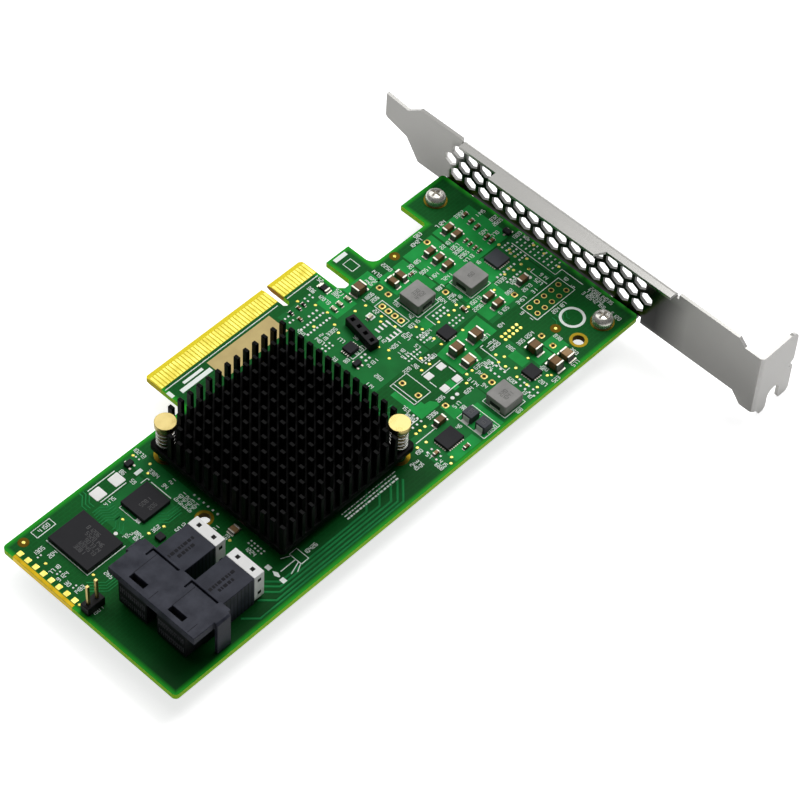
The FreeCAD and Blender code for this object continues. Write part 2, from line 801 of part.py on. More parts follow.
def make_hood():
    """The moulded hood over both cable ports, with latch windows and two legs at its ends."""
    body = new_body("connector_hood")
    place(body, PORT_FACE, PORT_MIDDLE)
    half = "(hood_width / 2)"
    top = new_sketch(body, "hood_top_plate", "XY_Plane", HOOD_UNDER)
    rectangle(top, "0", "hood_depth", "-" + half, half)
    pad(body, top, "hood_plate")
    legs = new_sketch(body, "hood_legs", "XY_Plane", "hood_top")
    leg_end = "(hood_ear_place + hood_ear_length)"
    rectangle(legs, "hood_ear_place", leg_end, half, half + " + hood_ear_thickness")
    rectangle(legs, "hood_ear_place", leg_end, "-%s - hood_ear_thickness" % half, "-" + half)
    pad(body, legs, "hood_top", reverse=True)
    web = new_sketch(body, "hood_web", "XY_Plane")
    rectangle(web, "hood_ear_place", "hood_depth",
              "-(port_pitch - port_width) / 2", "(port_pitch - port_width) / 2")
    pad(body, web, HOOD_UNDER)
    round_edges(body, ALONG_X, [
        ("hood_ear_place + hood_ear_length / 2", side + half + extra, "hood_top")
        for side, extra in (("", " + hood_ear_thickness"), ("-", " - hood_ear_thickness"))
    ], "hood_edge", kind="Chamfer")
    first = "(port_pitch / 2)"
    window = new_sketch(body, "latch_window", "XY_Plane", "hood_top")
    rectangle(window, "window_place - window_depth / 2", "window_place + window_depth / 2",
              first + " - window_width / 2", first + " + window_width / 2")
    repeat(body, pocket(body, window, "hood_plate"), "Y_Axis", "port_pitch", "2", reverse=True)
    groove = new_sketch(body, "flap_groove", "XY_Plane", "hood_top")
    rear = "(hood_depth - groove_inset)"
    outline(groove, [
        (rear, first + " - groove_span / 2"),
        (rear, first + " + groove_span / 2"),
        (rear + " - groove_leg", first + " + groove_span / 2"),
        (rear + " - groove_leg", first + " + groove_span / 2 - groove_width"),
        (rear + " - groove_width", first + " + groove_span / 2 - groove_width"),
        (rear + " - groove_width", first + " - groove_span / 2"),
    ])
    repeat(body, pocket(body, groove, "groove_depth"), "Y_Axis", "port_pitch", "2", reverse=True)


def make_port_socket(name, y):
    """The insulator of one port: a raised nose with two mating slots."""
    body = new_body("port_socket_" + name)
    place(body, PORT_FACE, y)
    side = new_sketch(body, "socket_profile_" + name, "XZ_Plane", "-port_width / 2")
    outline(side, [
        ("socket_setback", "socket_lift"),
        ("hood_ear_place", "socket_lift"),
        ("hood_ear_place", "0"),
        ("hood_depth", "0"),
        ("hood_depth", HOOD_UNDER),
        ("socket_setback", HOOD_UNDER),
    ])
    pad(body, side, "port_width")
    for number in (0, 1):
        level = "(mating_slot_level + %d * mating_slot_pitch)" % number
        slot = new_sketch(body, "mating_slot_%s_%d" % (name, number), "YZ_Plane", "socket_setback")
        rectangle(slot, "-mating_slot_width / 2", "mating_slot_width / 2",
                  level + " - mating_slot_height / 2", level + " + mating_slot_height / 2")
        pocket(body, slot, "mating_slot_depth", reverse=True)


def make_port_wafers(name, y):
    """The stack of contact wafers behind one port."""
    wafers = block("port_wafers_block_" + name, "%s + wafer_length / 2" % HOOD_REAR, y, "0",
                   "wafer_length", "port_width", "wafer_height")
    node(wafers, "port_wafers_" + name)


def make_port_clip(name, y):
    """The pale clip that ties the rear of the wafers, with small square windows."""
    body = new_body("port_clip_" + name)
    place(body, WAFER_REAR, y)
    bar = new_sketch(body, "clip_bar_" + name, "XY_Plane", "clip_lift")
    rectangle(bar, "0", "clip_length", "-port_width / 2", "port_width / 2")
    pad(body, bar, "wafer_height - clip_lift")
    middle = "clip_length / 2"
    top = new_sketch(body, "clip_top_holes_" + name, "XY_Plane", "wafer_height")
    for side in (-1, 1):
        hole_y = "(%d * clip_hole_pitch / 2)" % side
        rectangle(top, middle + " - clip_hole / 2", middle + " + clip_hole / 2",
                  hole_y + " - clip_hole / 2", hole_y + " + clip_hole / 2")
    pocket(body, top, "clip_hole_depth")
    end = new_sketch(body, "clip_end_holes_" + name, "XZ_Plane", "port_width / 2")
    level = "((clip_lift + wafer_height) / 2)"
    for side in (-1, 1):
        hole_z = "(%s + %d * clip_hole_pitch / 2)" % (level, side)
        rectangle(end, middle + " - clip_hole / 2", middle + " + clip_hole / 2",
                  hole_z + " - clip_hole / 2", hole_z + " + clip_hole / 2")
    pocket(body, end, "clip_hole_depth")


def make_header():
    """The two pin header at the board's end: a base and its square pins."""
    body = new_body("header_base")
    place(body, HEADER_X, HEADER_Y)
    base = new_sketch(body, "header_block", "XY_Plane")
    rectangle(base, "-header_pitch", "header_pitch", "-header_width / 2", "header_width / 2")
    pad(body, base, "header_height")
    holes = new_sketch(body, "header_pin_holes", "XY_Plane", "header_height")
    pins = []
    for side in (-1, 1):
        x = "(%d * header_pitch / 2)" % side
        rectangle(holes, x + " - header_pin / 2", x + " + header_pin / 2",
                  "-header_pin / 2", "header_pin / 2")
        pins.append(block("header_pin_block", "%s + %s" % (HEADER_X, x), HEADER_Y, "0",
                          "header_pin", "header_pin", "header_pin_top"))
    pocket(body, holes, "header_height")
    group("header_pins", pins)


def make_strip_header():
    """The low four place strip, set a little askew on the board."""
    body = new_body("strip_header")
    body.Placement.Rotation = FreeCAD.Rotation(UPRIGHT, -value("strip_turn"))
    place(body, "strip_place_x", "-strip_place_y")
    bar = new_sketch(body, "strip_bar", "XY_Plane")
    half = "(strip_count * header_pitch / 2)"
    rectangle(bar, "-header_width / 2", "header_width / 2", "-" + half, half)
    pad(body, bar, "strip_height")
    socket = new_sketch(body, "strip_socket_hole", "XY_Plane", "strip_height")
    first = "(header_pitch / 2 - %s)" % half
    rectangle(socket, "-strip_socket / 2", "strip_socket / 2",
              first + " - strip_socket / 2", first + " + strip_socket / 2")
    repeat(body, pocket(body, socket, "strip_socket_depth"), "Y_Axis", "header_pitch", "strip_count")


def make_package(label, spot, length, width, height):
    """A leadless chip package flat on the board."""
    node(block(label + "_block", spot[0], spot[1], "0", length, width, height), label)


def make_logic_chip():
    """The small chip that stands on a row of feet along each of two sides."""
    spot = from_key(0.6, -28.1)
    logic = block("logic_block", spot[0], spot[1], "package_lift",
                  "logic_x", "logic_y", "logic_height - package_lift")
    node(logic, "logic_chip")
    leads = []
    for side in (-1, 1):
        x = "(%s + %d * (logic_x + lead_reach) / 2)" % (spot[0], side)
        for number in range(LOGIC_LEADS_A_SIDE):
            y = "(%s + %s * logic_lead_pitch)" % (spot[1], number - (LOGIC_LEADS_A_SIDE - 1) / 2)
            leads.append(block("logic_lead", x, y, "0", "lead_reach", "lead_width", "lead_height"))
    group("logic_chip_leads", leads)


def make_inductors():
    """Moulded power coils with cut corners, and the sheet terminals on two of their sides."""
    spots = (
        ("back", from_key(22.8, -28.7), "y"),
        ("bracket", from_bracket_edge(21.15, -33.6), "x"),
        ("front", from_front_edge(15.0, 5.1), "x"),
    )
    terminals = []
    for name, (x, y), axis in spots:
        body = new_body("inductor_" + name)
        place(body, x, y)
        core = new_sketch(body, "inductor_outline_" + name, "XY_Plane")
        half = "inductor_side / 2"
        rectangle(core, "-" + half, half, "-" + half, half)
        pad(body, core, "inductor_height")
        round_edges(body, UPRIGHT, [
            (a + half, b + half, "inductor_height / 2") for a in ("", "-") for b in ("", "-")
        ], "inductor_corner", kind="Chamfer")
        for side in (-1, 1):
            offset = "%d * (inductor_side + terminal_thickness) / 2" % side
            if axis == "x":
                terminals.append(block("inductor_terminal", "(%s + %s)" % (x, offset), y, "0",
                                       "terminal_thickness", "terminal_width", "terminal_height"))
            else:
                terminals.append(block("inductor_terminal", x, "(%s + %s)" % (y, offset), "0",
                                       "terminal_width", "terminal_thickness", "terminal_height"))
    group("inductor_terminals", terminals)
    chokes = []
    ends = []
    for x, y in (from_front_edge(5.95, 7.35), from_front_edge(5.95, 3.2)):
        chokes.append(block("choke_block", x, y, "0", "choke_length", "choke_width", "choke_height"))
        for side in (-1, 1):
            end_x = "(%s + %d * (choke_length + terminal_thickness) / 2)" % (x, side)
            ends.append(block("choke_end", end_x, y, "0",
                              "terminal_thickness", "choke_terminal", "terminal_height"))
    group("choke_bodies", chokes)
    group("choke_terminals", ends)


def make_capacitors(label, kind, spots):
    """Ceramic block capacitors, lying along x or y, as one group."""
    length = kind + "_length"
    width = kind + "_width"
    pieces = []
    for (x, y), axis in spots:
        sides = (length, width) if axis == "x" else (width, length)
        pieces.append(block(kind + "_capacitor", x, y, "0", sides[0], sides[1], kind + "_height"))
    group(label, pieces)


BULK_CAPACITORS = (
    (from_key(15.0, -16.9), "x"),
    (from_key(18.0, -45.9), "x"),
    (from_key(24.4, -46.1), "x"),
    (from_front_edge(31.6, 10.5), "y"),
    (from_front_edge(31.4, 3.8), "y"),
)
FLAT_CAPACITORS = (
    (from_key(17.7, -50.1), "x"),
    (from_front_edge(35.6, 3.9), "y"),
)
CHIP_CAPACITORS = (
    (from_bracket_edge(12.65, -18.45), "x"),
    (from_bracket_edge(12.65, -21.25), "x"),
    (from_bracket_edge(21.3, -20.5), "x"),
    (from_bracket_edge(21.3, -23.4), "x"),
    (from_bracket_edge(21.3, -26.4), "x"),
    (from_bracket_edge(11.75, -42.1), "x"),
    (from_bracket_edge(21.55, -40.0), "x"),
    (from_bracket_edge(21.55, -43.0), "x"),
    (from_key(22.6, -20.9), "y"),
    (from_key(25.3, -20.9), "y"),
    (from_front_edge(-0.2, 11.3), "x"),
)

make_board()
make_contacts("edge_contacts_top", "0")
make_contacts("edge_contacts_bottom", "-board_thickness - contact_thickness")
make_bracket()
make_bracket_screws()
node(block("thermal_pad_block", SINK_X, SINK_Y, "controller_height",
           "pad_side", "pad_side", "pad_thickness"),
     "thermal_pad")
make_heatsink()
make_push_pins()
make_springs()
make_hood()
for port_name, port_y in PORTS:
    make_port_socket(port_name, port_y)
    make_port_wafers(port_name, port_y)
    make_port_clip(port_name, port_y)
make_header()
make_strip_header()
for chip_name, chip_spot, chip_x, chip_y, chip_height in (
    ("memory_chip", from_left_end(14.0, -25.5), "memory_x", "memory_y", "memory_height"),
    ("flash_chip", from_left_end(30.9, -27.0), "flash_x", "flash_y", "flash_height"),
    ("regulator_chip", from_bracket_edge(11.2, -33.2),
     "regulator_side", "regulator_side", "package_height"),
    ("converter_chip_back", from_key(20.4, -40.5), "converter_side", "converter_side", "package_height"),
    ("converter_chip_front", from_front_edge(25.9, 6.25),
     "converter_side", "converter_side", "package_height"),
    ("driver_chip", from_front_edge(-2.3, 6.45), "driver_x", "driver_y", "package_height"),
    ("clock_chip", from_left_end(26.7, -36.2), "clock_side", "clock_side", "package_height"),
    ("controller_chip", (SINK_X, SINK_Y), "controller_side", "controller_side", "controller_height"),
):
    make_package(chip_name, chip_spot, chip_x, chip_y, chip_height)
make_logic_chip()
make_inductors()
make_capacitors("bulk_capacitors", "bulk", BULK_CAPACITORS)
make_capacitors("flat_capacitors", "flat", FLAT_CAPACITORS)
make_capacitors("chip_capacitors", "chip", CHIP_CAPACITORS)

doc.recompute()
for thing in doc.Objects:
    if "Invalid" in thing.State or "Error" in thing.State:
        raise ValueError("%s was not built" % thing.Name)
for thing in nodes:
    if thing.Shape.isNull() or not thing.Shape.isValid():
        raise ValueError("%s has no sound shape" % thing.Label)

os.makedirs("parts", exist_ok=True)
for thing in nodes:
    thing.Shape.exportStep("parts/%s.step" % thing.Label)
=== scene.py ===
import math

import bmesh
import bpy
from mathutils import Matrix, Vector


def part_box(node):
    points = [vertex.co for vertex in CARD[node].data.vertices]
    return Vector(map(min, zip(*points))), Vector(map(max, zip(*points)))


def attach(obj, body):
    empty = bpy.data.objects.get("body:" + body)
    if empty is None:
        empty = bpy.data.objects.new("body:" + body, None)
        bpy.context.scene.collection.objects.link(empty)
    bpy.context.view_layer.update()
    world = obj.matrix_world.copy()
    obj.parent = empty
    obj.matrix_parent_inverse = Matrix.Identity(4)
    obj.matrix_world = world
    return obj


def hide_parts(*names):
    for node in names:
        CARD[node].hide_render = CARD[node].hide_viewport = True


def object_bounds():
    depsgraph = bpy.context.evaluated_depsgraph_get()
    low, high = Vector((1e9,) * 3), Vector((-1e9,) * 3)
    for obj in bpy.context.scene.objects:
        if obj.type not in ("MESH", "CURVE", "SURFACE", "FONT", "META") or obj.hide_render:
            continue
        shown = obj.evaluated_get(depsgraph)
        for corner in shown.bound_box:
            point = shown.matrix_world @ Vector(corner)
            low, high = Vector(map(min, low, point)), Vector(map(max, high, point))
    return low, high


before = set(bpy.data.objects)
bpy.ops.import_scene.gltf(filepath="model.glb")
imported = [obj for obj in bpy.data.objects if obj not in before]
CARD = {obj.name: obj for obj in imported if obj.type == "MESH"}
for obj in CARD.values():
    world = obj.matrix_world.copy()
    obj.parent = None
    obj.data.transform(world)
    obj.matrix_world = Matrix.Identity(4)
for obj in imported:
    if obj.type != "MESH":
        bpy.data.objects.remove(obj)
CAD_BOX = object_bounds()
MM = 0.001

# Places on the card are in millimetres: X towards the bracket, Y towards the contact tips, Z up
BOARD_LEFT = -95.3
BOARD_RIGHT = 57.15
BOARD_FRONT = -68.9
TONGUE_LEFT = -39.15
TONGUE_RIGHT = 12.15
CONTACT_ROOT = -5.6
# Left, right, front and back limits of the rectangles that the board is made of
BOARD_AREAS = (
    (BOARD_LEFT, BOARD_RIGHT, BOARD_FRONT, -13.3),
    (TONGUE_LEFT, TONGUE_RIGHT, BOARD_FRONT, 0.0),
    (16.0, 23.55, BOARD_FRONT, -5.0),
    (42.15, BOARD_RIGHT, BOARD_FRONT, -4.9),
)
# Zones of painted shade on the lacquer, where the ports and the heatsink shade the board: the fade along X,
# the fade along Y, its tone and its share
SHADE_ZONES = (
    ((-72.0, -50.0), (-66.0, -48.0), (0.001, 0.038, 0.005), 0.75),
    ((-14.0, -6.0), (-62.0, -58.0), (0.001, 0.040, 0.006), 0.45),
)
RIM_WIDTH = 1.35
KEY_REACH = 1.5
GILT_EDGE = (-36.2, -16.9)
TOOLING_HOLES = ((41.3, -63.7), (-57.8, -39.1))
HOLE_REACH = 1.8
RIB_PITCH = 1.1


def add_node(tree, kind, inputs=None, **properties):
    """A node with its properties set, and its inputs set to values or linked to sockets."""
    node = tree.nodes.new(kind)
    for name, value in properties.items():
        setattr(node, name, value)
    for name, value in (inputs or {}).items():
        if isinstance(value, bpy.types.NodeSocket):
            tree.links.new(value, node.inputs[name])
        else:
            node.inputs[name].default_value = value
    return node


def scene_object(name, data):
    """A new object in the scene."""
    made = bpy.data.objects.new(name, data)
    bpy.context.scene.collection.objects.link(made)
    return made


def plain_mesh(carrier):
    """The mesh that an object shows with its modifiers applied. The object itself goes."""
    seen = carrier.evaluated_get(bpy.context.evaluated_depsgraph_get())
    mesh = bpy.data.meshes.new_from_object(seen)
    bpy.data.objects.remove(carrier)
    return mesh


class Finish:
    """A material, built up node by node round one Principled shader.

    Its plain colour and roughness are what a viewer without the nodes shows.
    """

    def __init__(self, name, colour, roughness, metallic=0.0, specular=0.5):
        self.material = bpy.data.materials.new(name)
        self.material.use_nodes = True
        self.tree = self.material.node_tree
        self.shader = self.tree.nodes["Principled BSDF"]
        self.shader.inputs["Base Color"].default_value = (*colour, 1)
        self.shader.inputs["Roughness"].default_value = roughness
        self.shader.inputs["Metallic"].default_value = metallic
        self.shader.inputs["Specular IOR Level"].default_value = specular
        self.coordinates = self.node("ShaderNodeTexCoord").outputs
        self.place = self.coordinates["Object"]

    def node(self, kind, inputs=None, **properties):
        return add_node(self.tree, kind, inputs, **properties)

    def link(self, socket, name):
        self.tree.links.new(socket, self.shader.inputs[name])

    def maths(self, operation, first, second=0.0):
        return self.node("ShaderNodeMath", {0: first, 1: second}, operation=operation).outputs[0]

    def times(self, first, second):
        return self.maths("MULTIPLY", first, second)

    def inverse(self, share):
        return self.maths("SUBTRACT", 1.0, share)

    def blend(self, factor, first, second):
        """One colour over another by a factor. A colour is a socket or three numbers."""
        under, over = [(*tone, 1) if isinstance(tone, tuple) else tone for tone in (first, second)]
        return self.node("ShaderNodeMix", {0: factor, 6: under, 7: over}, data_type="RGBA").outputs[2]

    def ramp(self, value, low, high, from_low=0.0, from_high=1.0):
        """A value remapped from one range to another, held at the ends."""
        node = self.node("ShaderNodeMapRange", {0: value, 1: from_low, 2: from_high, 3: low, 4: high})
        return node.outputs[0]

    def rise(self, value, low, high):
        """0 below one limit of a value and 1 above another."""
        return self.ramp(value, 0.0, 1.0, low, high)

    def fall(self, value, low, high):
        """1 below one limit of a value and 0 above another."""
        return self.ramp(value, 1.0, 0.0, low, high)

    def within(self, value, low, high, soft):
        """1 where a value lies between two limits, with soft edges."""
        above = self.rise(value, low - soft, low + soft)
        return self.times(above, self.fall(value, high - soft, high + soft))

    def stretched(self, scale):
        """Object coordinates scaled along each axis."""
        return self.node("ShaderNodeMapping", {"Vector": self.place, "Scale": scale}).outputs[0]

    def axes(self, vector):
        return self.node("ShaderNodeSeparateXYZ", {0: vector}).outputs

    def millimetres(self):
        """The place of a point of the surface along each axis, in millimetres."""
        return self.axes(self.stretched((1 / MM, 1 / MM, 1 / MM)))

    def facing(self, axis):
        """How far the surface faces along an axis, from -1 to 1."""
        return self.axes(self.coordinates["Normal"])[axis]

    def square_to(self, axis, low, high):
        """1 where the surface is square to an axis, by two limits of how far it faces along it."""
        return self.rise(self.maths("ABSOLUTE", self.facing(axis)), low, high)

    def noise(self, scale, detail=3.0, vector=None):
        inputs = {"Vector": vector or self.place, "Scale": scale, "Detail": detail}
        return self.node("ShaderNodeTexNoise", inputs).outputs["Fac"]

    def patches(self, scale):
        """Soft patches, from 0 to 1."""
        return self.rise(self.noise(scale, 4.0), 0.35, 0.65)

    def bump(self, height, strength, distance):
        """Relief of a given depth in millimetres."""
        inputs = {"Height": height, "Strength": strength, "Distance": distance * MM}
        self.link(self.node("ShaderNodeBump", inputs).outputs[0], "Normal")

    def vary(self, first, second, scale, roughness):
        """Colour and roughness that drift between two values in soft patches."""
        patches = self.patches(scale)
        self.link(self.blend(patches, first, second), "Base Color")
        self.link(self.ramp(patches, *roughness), "Roughness")


def edge_depth(finish, x, y):
    """How far inside the board's outline a place lies, in millimetres."""
    depth = None
    for left, right, front, back in BOARD_AREAS:
        gaps = [finish.maths("SUBTRACT", *ends) for ends in ((x, left), (right, x), (y, front), (back, y))]
        across = finish.maths("MINIMUM", gaps[0], gaps[1])
        along = finish.maths("MINIMUM", gaps[2], gaps[3])
        inside = finish.maths("MINIMUM", across, along)
        depth = inside if depth is None else finish.maths("MAXIMUM", depth, inside)
    return depth


def board_green(finish, x, y, slots):
    """Cloudy green, brighter over the slots in the copper and along the rim, with painted shade in some
    zones.
    """
    cloud = finish.rise(finish.noise(45.0, 4.0), 0.3, 0.7)
    green = finish.blend(cloud, (0.003, 0.082, 0.012), (0.005, 0.118, 0.018))
    green = finish.blend(finish.times(slots, 0.35), green, (0.006, 0.150, 0.026))
    for across, along, tone, share in SHADE_ZONES:
        # Painted shade: the lacquer turns darker where the ports and the heatsink cast shadow
        shade_zone = finish.times(finish.fall(x, *across), finish.fall(y, *along))
        green = finish.blend(finish.times(shade_zone, share), green, tone)
    rim = finish.fall(edge_depth(finish, x, y), 0.25 * RIM_WIDTH, RIM_WIDTH)
    return finish.blend(rim, green, (0.016, 0.36, 0.018))


def board_side(finish, x, tongue, plated):
    """The cut edge: lime, yellow on the tongue, amber in the key notch and holes, gilt at the left end."""
    fibre = finish.noise(900.0, 3.0, finish.stretched((0.3, 0.3, 2.5)))
    side = finish.blend(fibre, (0.34, 0.74, 0.012), (0.48, 0.92, 0.030))
    key_wall = finish.times(finish.square_to("X", 0.6, 0.8), finish.within(x, -KEY_REACH, KEY_REACH, 0.1))
    bare = finish.blend(key_wall, (0.85, 0.70, 0.026), (0.62, 0.34, 0.010))
    side = finish.blend(tongue, side, bare)
    side = finish.blend(plated, side, (0.78, 0.55, 0.018))
    level_place = finish.stretched((1 / MM, 1 / MM, 0))
    for hole in TOOLING_HOLES:
        away = finish.node("ShaderNodeVectorMath", {0: level_place, 1: (*hole, 0)}, operation="DISTANCE")
        wall = finish.fall(away.outputs["Value"], HOLE_REACH, HOLE_REACH + 0.1)
        side = finish.blend(wall, side, (0.150, 0.092, 0.008))
    return side


def board_finish():
    """Green lacquer over woven glass, its cut edges, and the bare yellow laminate of the tongue."""
    finish = Finish("board_lacquer", (0.005, 0.105, 0.016), 0.4, specular=0.05)
    x, y, _ = finish.millimetres()
    level_place = finish.stretched((1, 1, 0))
    slots = finish.node("ShaderNodeTexBrick", {"Vector": level_place, "Scale": 260.0, "Mortar Size": 0.035,
                                               "Mortar Smooth": 0.4}).outputs["Fac"]
    weave = finish.node("ShaderNodeTexBrick", {"Vector": level_place, "Scale": 900.0}).outputs["Fac"]
    tongue = finish.times(finish.rise(y, CONTACT_ROOT, CONTACT_ROOT + 0.1),
                          finish.within(x, TONGUE_LEFT - 0.1, TONGUE_RIGHT + 0.1, 0.01))
    plated = finish.times(finish.fall(x, BOARD_LEFT + 0.05, BOARD_LEFT + 0.15),
                          finish.within(y, *GILT_EDGE, 0.05))
    top = finish.blend(tongue, board_green(finish, x, y, slots), (0.78, 0.66, 0.034))
    side = board_side(finish, x, tongue, plated)
    flat = finish.square_to("Z", 0.97, 0.98)
    finish.link(finish.blend(flat, side, top), "Base Color")
    finish.link(finish.times(plated, finish.inverse(flat)), "Metallic")
    finish.link(finish.ramp(finish.noise(700.0), 0.34, 0.48), "Roughness")
    finish.bump(finish.maths("ADD", slots, finish.times(weave, 0.2)), 0.25, 0.02)
    return finish.material


def lacquer_finish(name, first, second):
    """Green lacquer over copper: the same gloss as the board, in a brighter tone."""
    finish = Finish(name, first, 0.38, specular=0.05)
    finish.vary(first, second, 160.0, (0.33, 0.46))
    finish.bump(finish.noise(1500.0), 0.12, 0.01)
    return finish.material


def metal_finish(name, first, second, scale, roughness, grain, metallic=1.0):
    """Bare or plated metal with a slight drift of tone, gloss and fine relief."""
    finish = Finish(name, first, roughness[0], metallic=metallic)
    finish.vary(first, second, scale, roughness)
    finish.bump(finish.noise(2500.0), grain, 0.01)
    return finish.material


def moulded_finish(name, first, second, roughness=(0.42, 0.58), grain=0.12, specular=0.4):
    """Moulded plastic, epoxy, ceramic or ink: fine matt grain with a faint drift of tone."""
    finish = Finish(name, first, roughness[0], specular=specular)
    finish.vary(first, second, 250.0, roughness)
    finish.bump(finish.noise(4200.0, 2.0), grain, 0.015)
    return finish.material


def tin_finish():
    """Tinned ends: bright where they lie level, with painted shade on their upright sides."""
    finish = Finish("tinned_metal", (0.70, 0.70, 0.68), 0.45, metallic=1.0)
    patches = finish.patches(900.0)
    bright = finish.blend(patches, (0.62, 0.59, 0.51), (0.76, 0.73, 0.64))
    # Painted shade: the upright sides are dark
    finish.link(finish.blend(finish.square_to("Z", 0.45, 0.85), (0.17, 0.17, 0.165), bright), "Base Color")
    finish.link(finish.ramp(patches, 0.40, 0.55), "Roughness")
    finish.bump(finish.noise(2500.0), 0.12, 0.01)
    return finish.material


def sheet_finish():
    """Plated sheet, rolled along its length, with pale cut edges that are partly bare steel and partly
    painted highlight, and a painted reflection of the dark board where it is over the board.
    """
    finish = Finish("plated_sheet", (0.60, 0.59, 0.57), 0.2, metallic=1.0)
    _, y, z = finish.millimetres()
    level = finish.square_to("Z", 0.92, 0.97)
    upright = finish.square_to("X", 0.8, 0.9)
    edge = finish.times(finish.inverse(upright), finish.inverse(level))
    # Painted reflection: the zone where the sheet mirrors the dark board
    board_reflection_zone = finish.times(finish.times(finish.rise(y, -82.0, -73.0), finish.fall(y, -10.0, -6.0)),
                              finish.times(finish.rise(z, -6.0, -2.0), finish.fall(z, 11.0, 14.0)))
    inner = finish.times(board_reflection_zone, finish.fall(finish.facing("X"), -0.9, -0.8))
    patches = finish.rise(finish.noise(35.0), 0.3, 0.7)
    tone = finish.blend(patches, (0.300, 0.296, 0.283), (0.330, 0.326, 0.312))
    # Painted shade: level faces are a little darker than the rest
    tone = finish.blend(level, tone, (0.275, 0.271, 0.260))
    # Painted reflection of the board: near black on the face towards it
    tone = finish.blend(finish.times(inner, 0.85), tone, (0.012, 0.012, 0.013))
    # Cut edges: pale, partly bare steel and partly painted highlight; in the zone over the board, painted
    # reflection makes them dark
    cut = finish.blend(board_reflection_zone, (0.80, 0.79, 0.77), (0.24, 0.24, 0.23))
    grain = finish.noise(260.0, 4.0, finish.stretched((1, 0.12, 1)))
    gloss = finish.maths("ADD", finish.ramp(grain, 0.16, 0.26), finish.times(edge, 0.35))
    finish.link(finish.blend(edge, tone, cut), "Base Color")
    finish.link(finish.ramp(edge, 1.0, 0.4), "Metallic")
    finish.link(gloss, "Roughness")
    finish.bump(grain, 0.03, 0.02)
    return finish.material


def terminal_finish():
    """Terminals of the coils: bright solder at the foot, and painted shade above it."""
    finish = Finish("coil_terminal", (0.5, 0.5, 0.48), 0.4, specular=0.3)
    patches = finish.noise(900.0, 4.0)
    level = finish.maths("ADD", finish.millimetres()["Z"], finish.times(patches, 0.4))
    solder = finish.blend(patches, (0.86, 0.82, 0.76), (0.98, 0.95, 0.90))
    # Painted shade: near black above the solder foot
    finish.link(finish.blend(finish.fall(level, 0.75, 0.95), (0.012, 0.012, 0.012), solder), "Base Color")
    finish.link(finish.ramp(patches, 0.3, 0.5), "Roughness")
    finish.bump(patches, 0.15, 0.03)
    return finish.material


def ribbed_finish():
    """Moulded wafers side by side: fine dark upright lines on their sides."""
    finish = Finish("wafer_plastic", (0.03, 0.03, 0.04), 0.5, specular=0.13)
    patches = finish.patches(250.0)
    body = finish.blend(patches, (0.020, 0.022, 0.034), (0.043, 0.046, 0.062))
    share = finish.maths("FRACT", finish.maths("DIVIDE", finish.millimetres()["X"], RIB_PITCH))
    lines = finish.times(finish.fall(share, 0.15, 0.30), finish.inverse(finish.square_to("Z", 0.2, 0.5)))
    finish.link(finish.blend(lines, body, (0.006, 0.006, 0.008)), "Base Color")
    finish.link(finish.ramp(patches, 0.42, 0.58), "Roughness")
    finish.bump(finish.noise(4200.0, 2.0), 0.12, 0.015)
    return finish.material


BOARD = board_finish()
BRIGHT_LACQUER = lacquer_finish("pour_lacquer", (0.010, 0.27, 0.045), (0.016, 0.37, 0.070))
PLANE_LACQUER = lacquer_finish("plane_lacquer", (0.008, 0.145, 0.028), (0.011, 0.190, 0.038))
TRACK_LACQUER = lacquer_finish("track_lacquer", (0.012, 0.180, 0.046), (0.017, 0.245, 0.064))
GILT = metal_finish("gilt_plating", (0.68, 0.58, 0.11), (0.80, 0.70, 0.19), 350.0, (0.2, 0.36), 0.08)
CONTACT_GILT = metal_finish("contact_gilt", (0.68, 0.57, 0.085), (0.80, 0.69, 0.150), 350.0, (0.2, 0.36),
                            0.08)
PALE_GILT = metal_finish("pale_gilt", (0.62, 0.47, 0.16), (0.72, 0.56, 0.23), 400.0, (0.3, 0.45), 0.1)
COPPER = metal_finish("copper_ring", (0.070, 0.042, 0.003), (0.100, 0.060, 0.006), 400.0, (0.4, 0.55), 0.1)
AMBER = metal_finish("amber_ring", (0.16, 0.11, 0.007), (0.22, 0.15, 0.012), 400.0, (0.3, 0.45), 0.1)
EDGE_GILT = metal_finish("edge_gilt", (0.37, 0.24, 0.008), (0.44, 0.29, 0.012), 350.0, (0.25, 0.4), 0.08)
SCREW = metal_finish("plated_screw", (0.88, 0.85, 0.79), (0.96, 0.93, 0.87), 600.0, (0.18, 0.32), 0.05,
                     metallic=0.75)
STEEL = metal_finish("bright_steel", (0.62, 0.61, 0.58), (0.78, 0.77, 0.74), 600.0, (0.12, 0.28), 0.04)
BRASS = metal_finish("pale_brass", (0.44, 0.35, 0.13), (0.51, 0.41, 0.17), 450.0, (0.24, 0.4), 0.06)
TIN = tin_finish()
SHEET = sheet_finish()
WAFER = ribbed_finish()
TERMINAL = terminal_finish()
BLACK_SINK = moulded_finish("black_anodised", (0.0004, 0.0004, 0.0005), (0.0008, 0.0008, 0.0009),
                            roughness=(0.36, 0.48), grain=0.1, specular=0.06)
SLATE = moulded_finish("slate_plastic", (0.018, 0.020, 0.032), (0.054, 0.057, 0.075), specular=0.13)
SOCKET = moulded_finish("socket_plastic", (0.005, 0.006, 0.007), (0.009, 0.010, 0.011), specular=0.1)
COMB = moulded_finish("comb_plastic", (0.060, 0.062, 0.070), (0.085, 0.087, 0.096), specular=0.1)
WHITE_PLASTIC = moulded_finish("white_plastic", (0.80, 0.80, 0.79), (0.86, 0.86, 0.85))
BLACK_PLASTIC = moulded_finish("black_plastic", (0.006, 0.006, 0.007), (0.010, 0.010, 0.011), specular=0.15)
EPOXY = moulded_finish("chip_epoxy", (0.011, 0.011, 0.014), (0.017, 0.017, 0.020), specular=0.13)
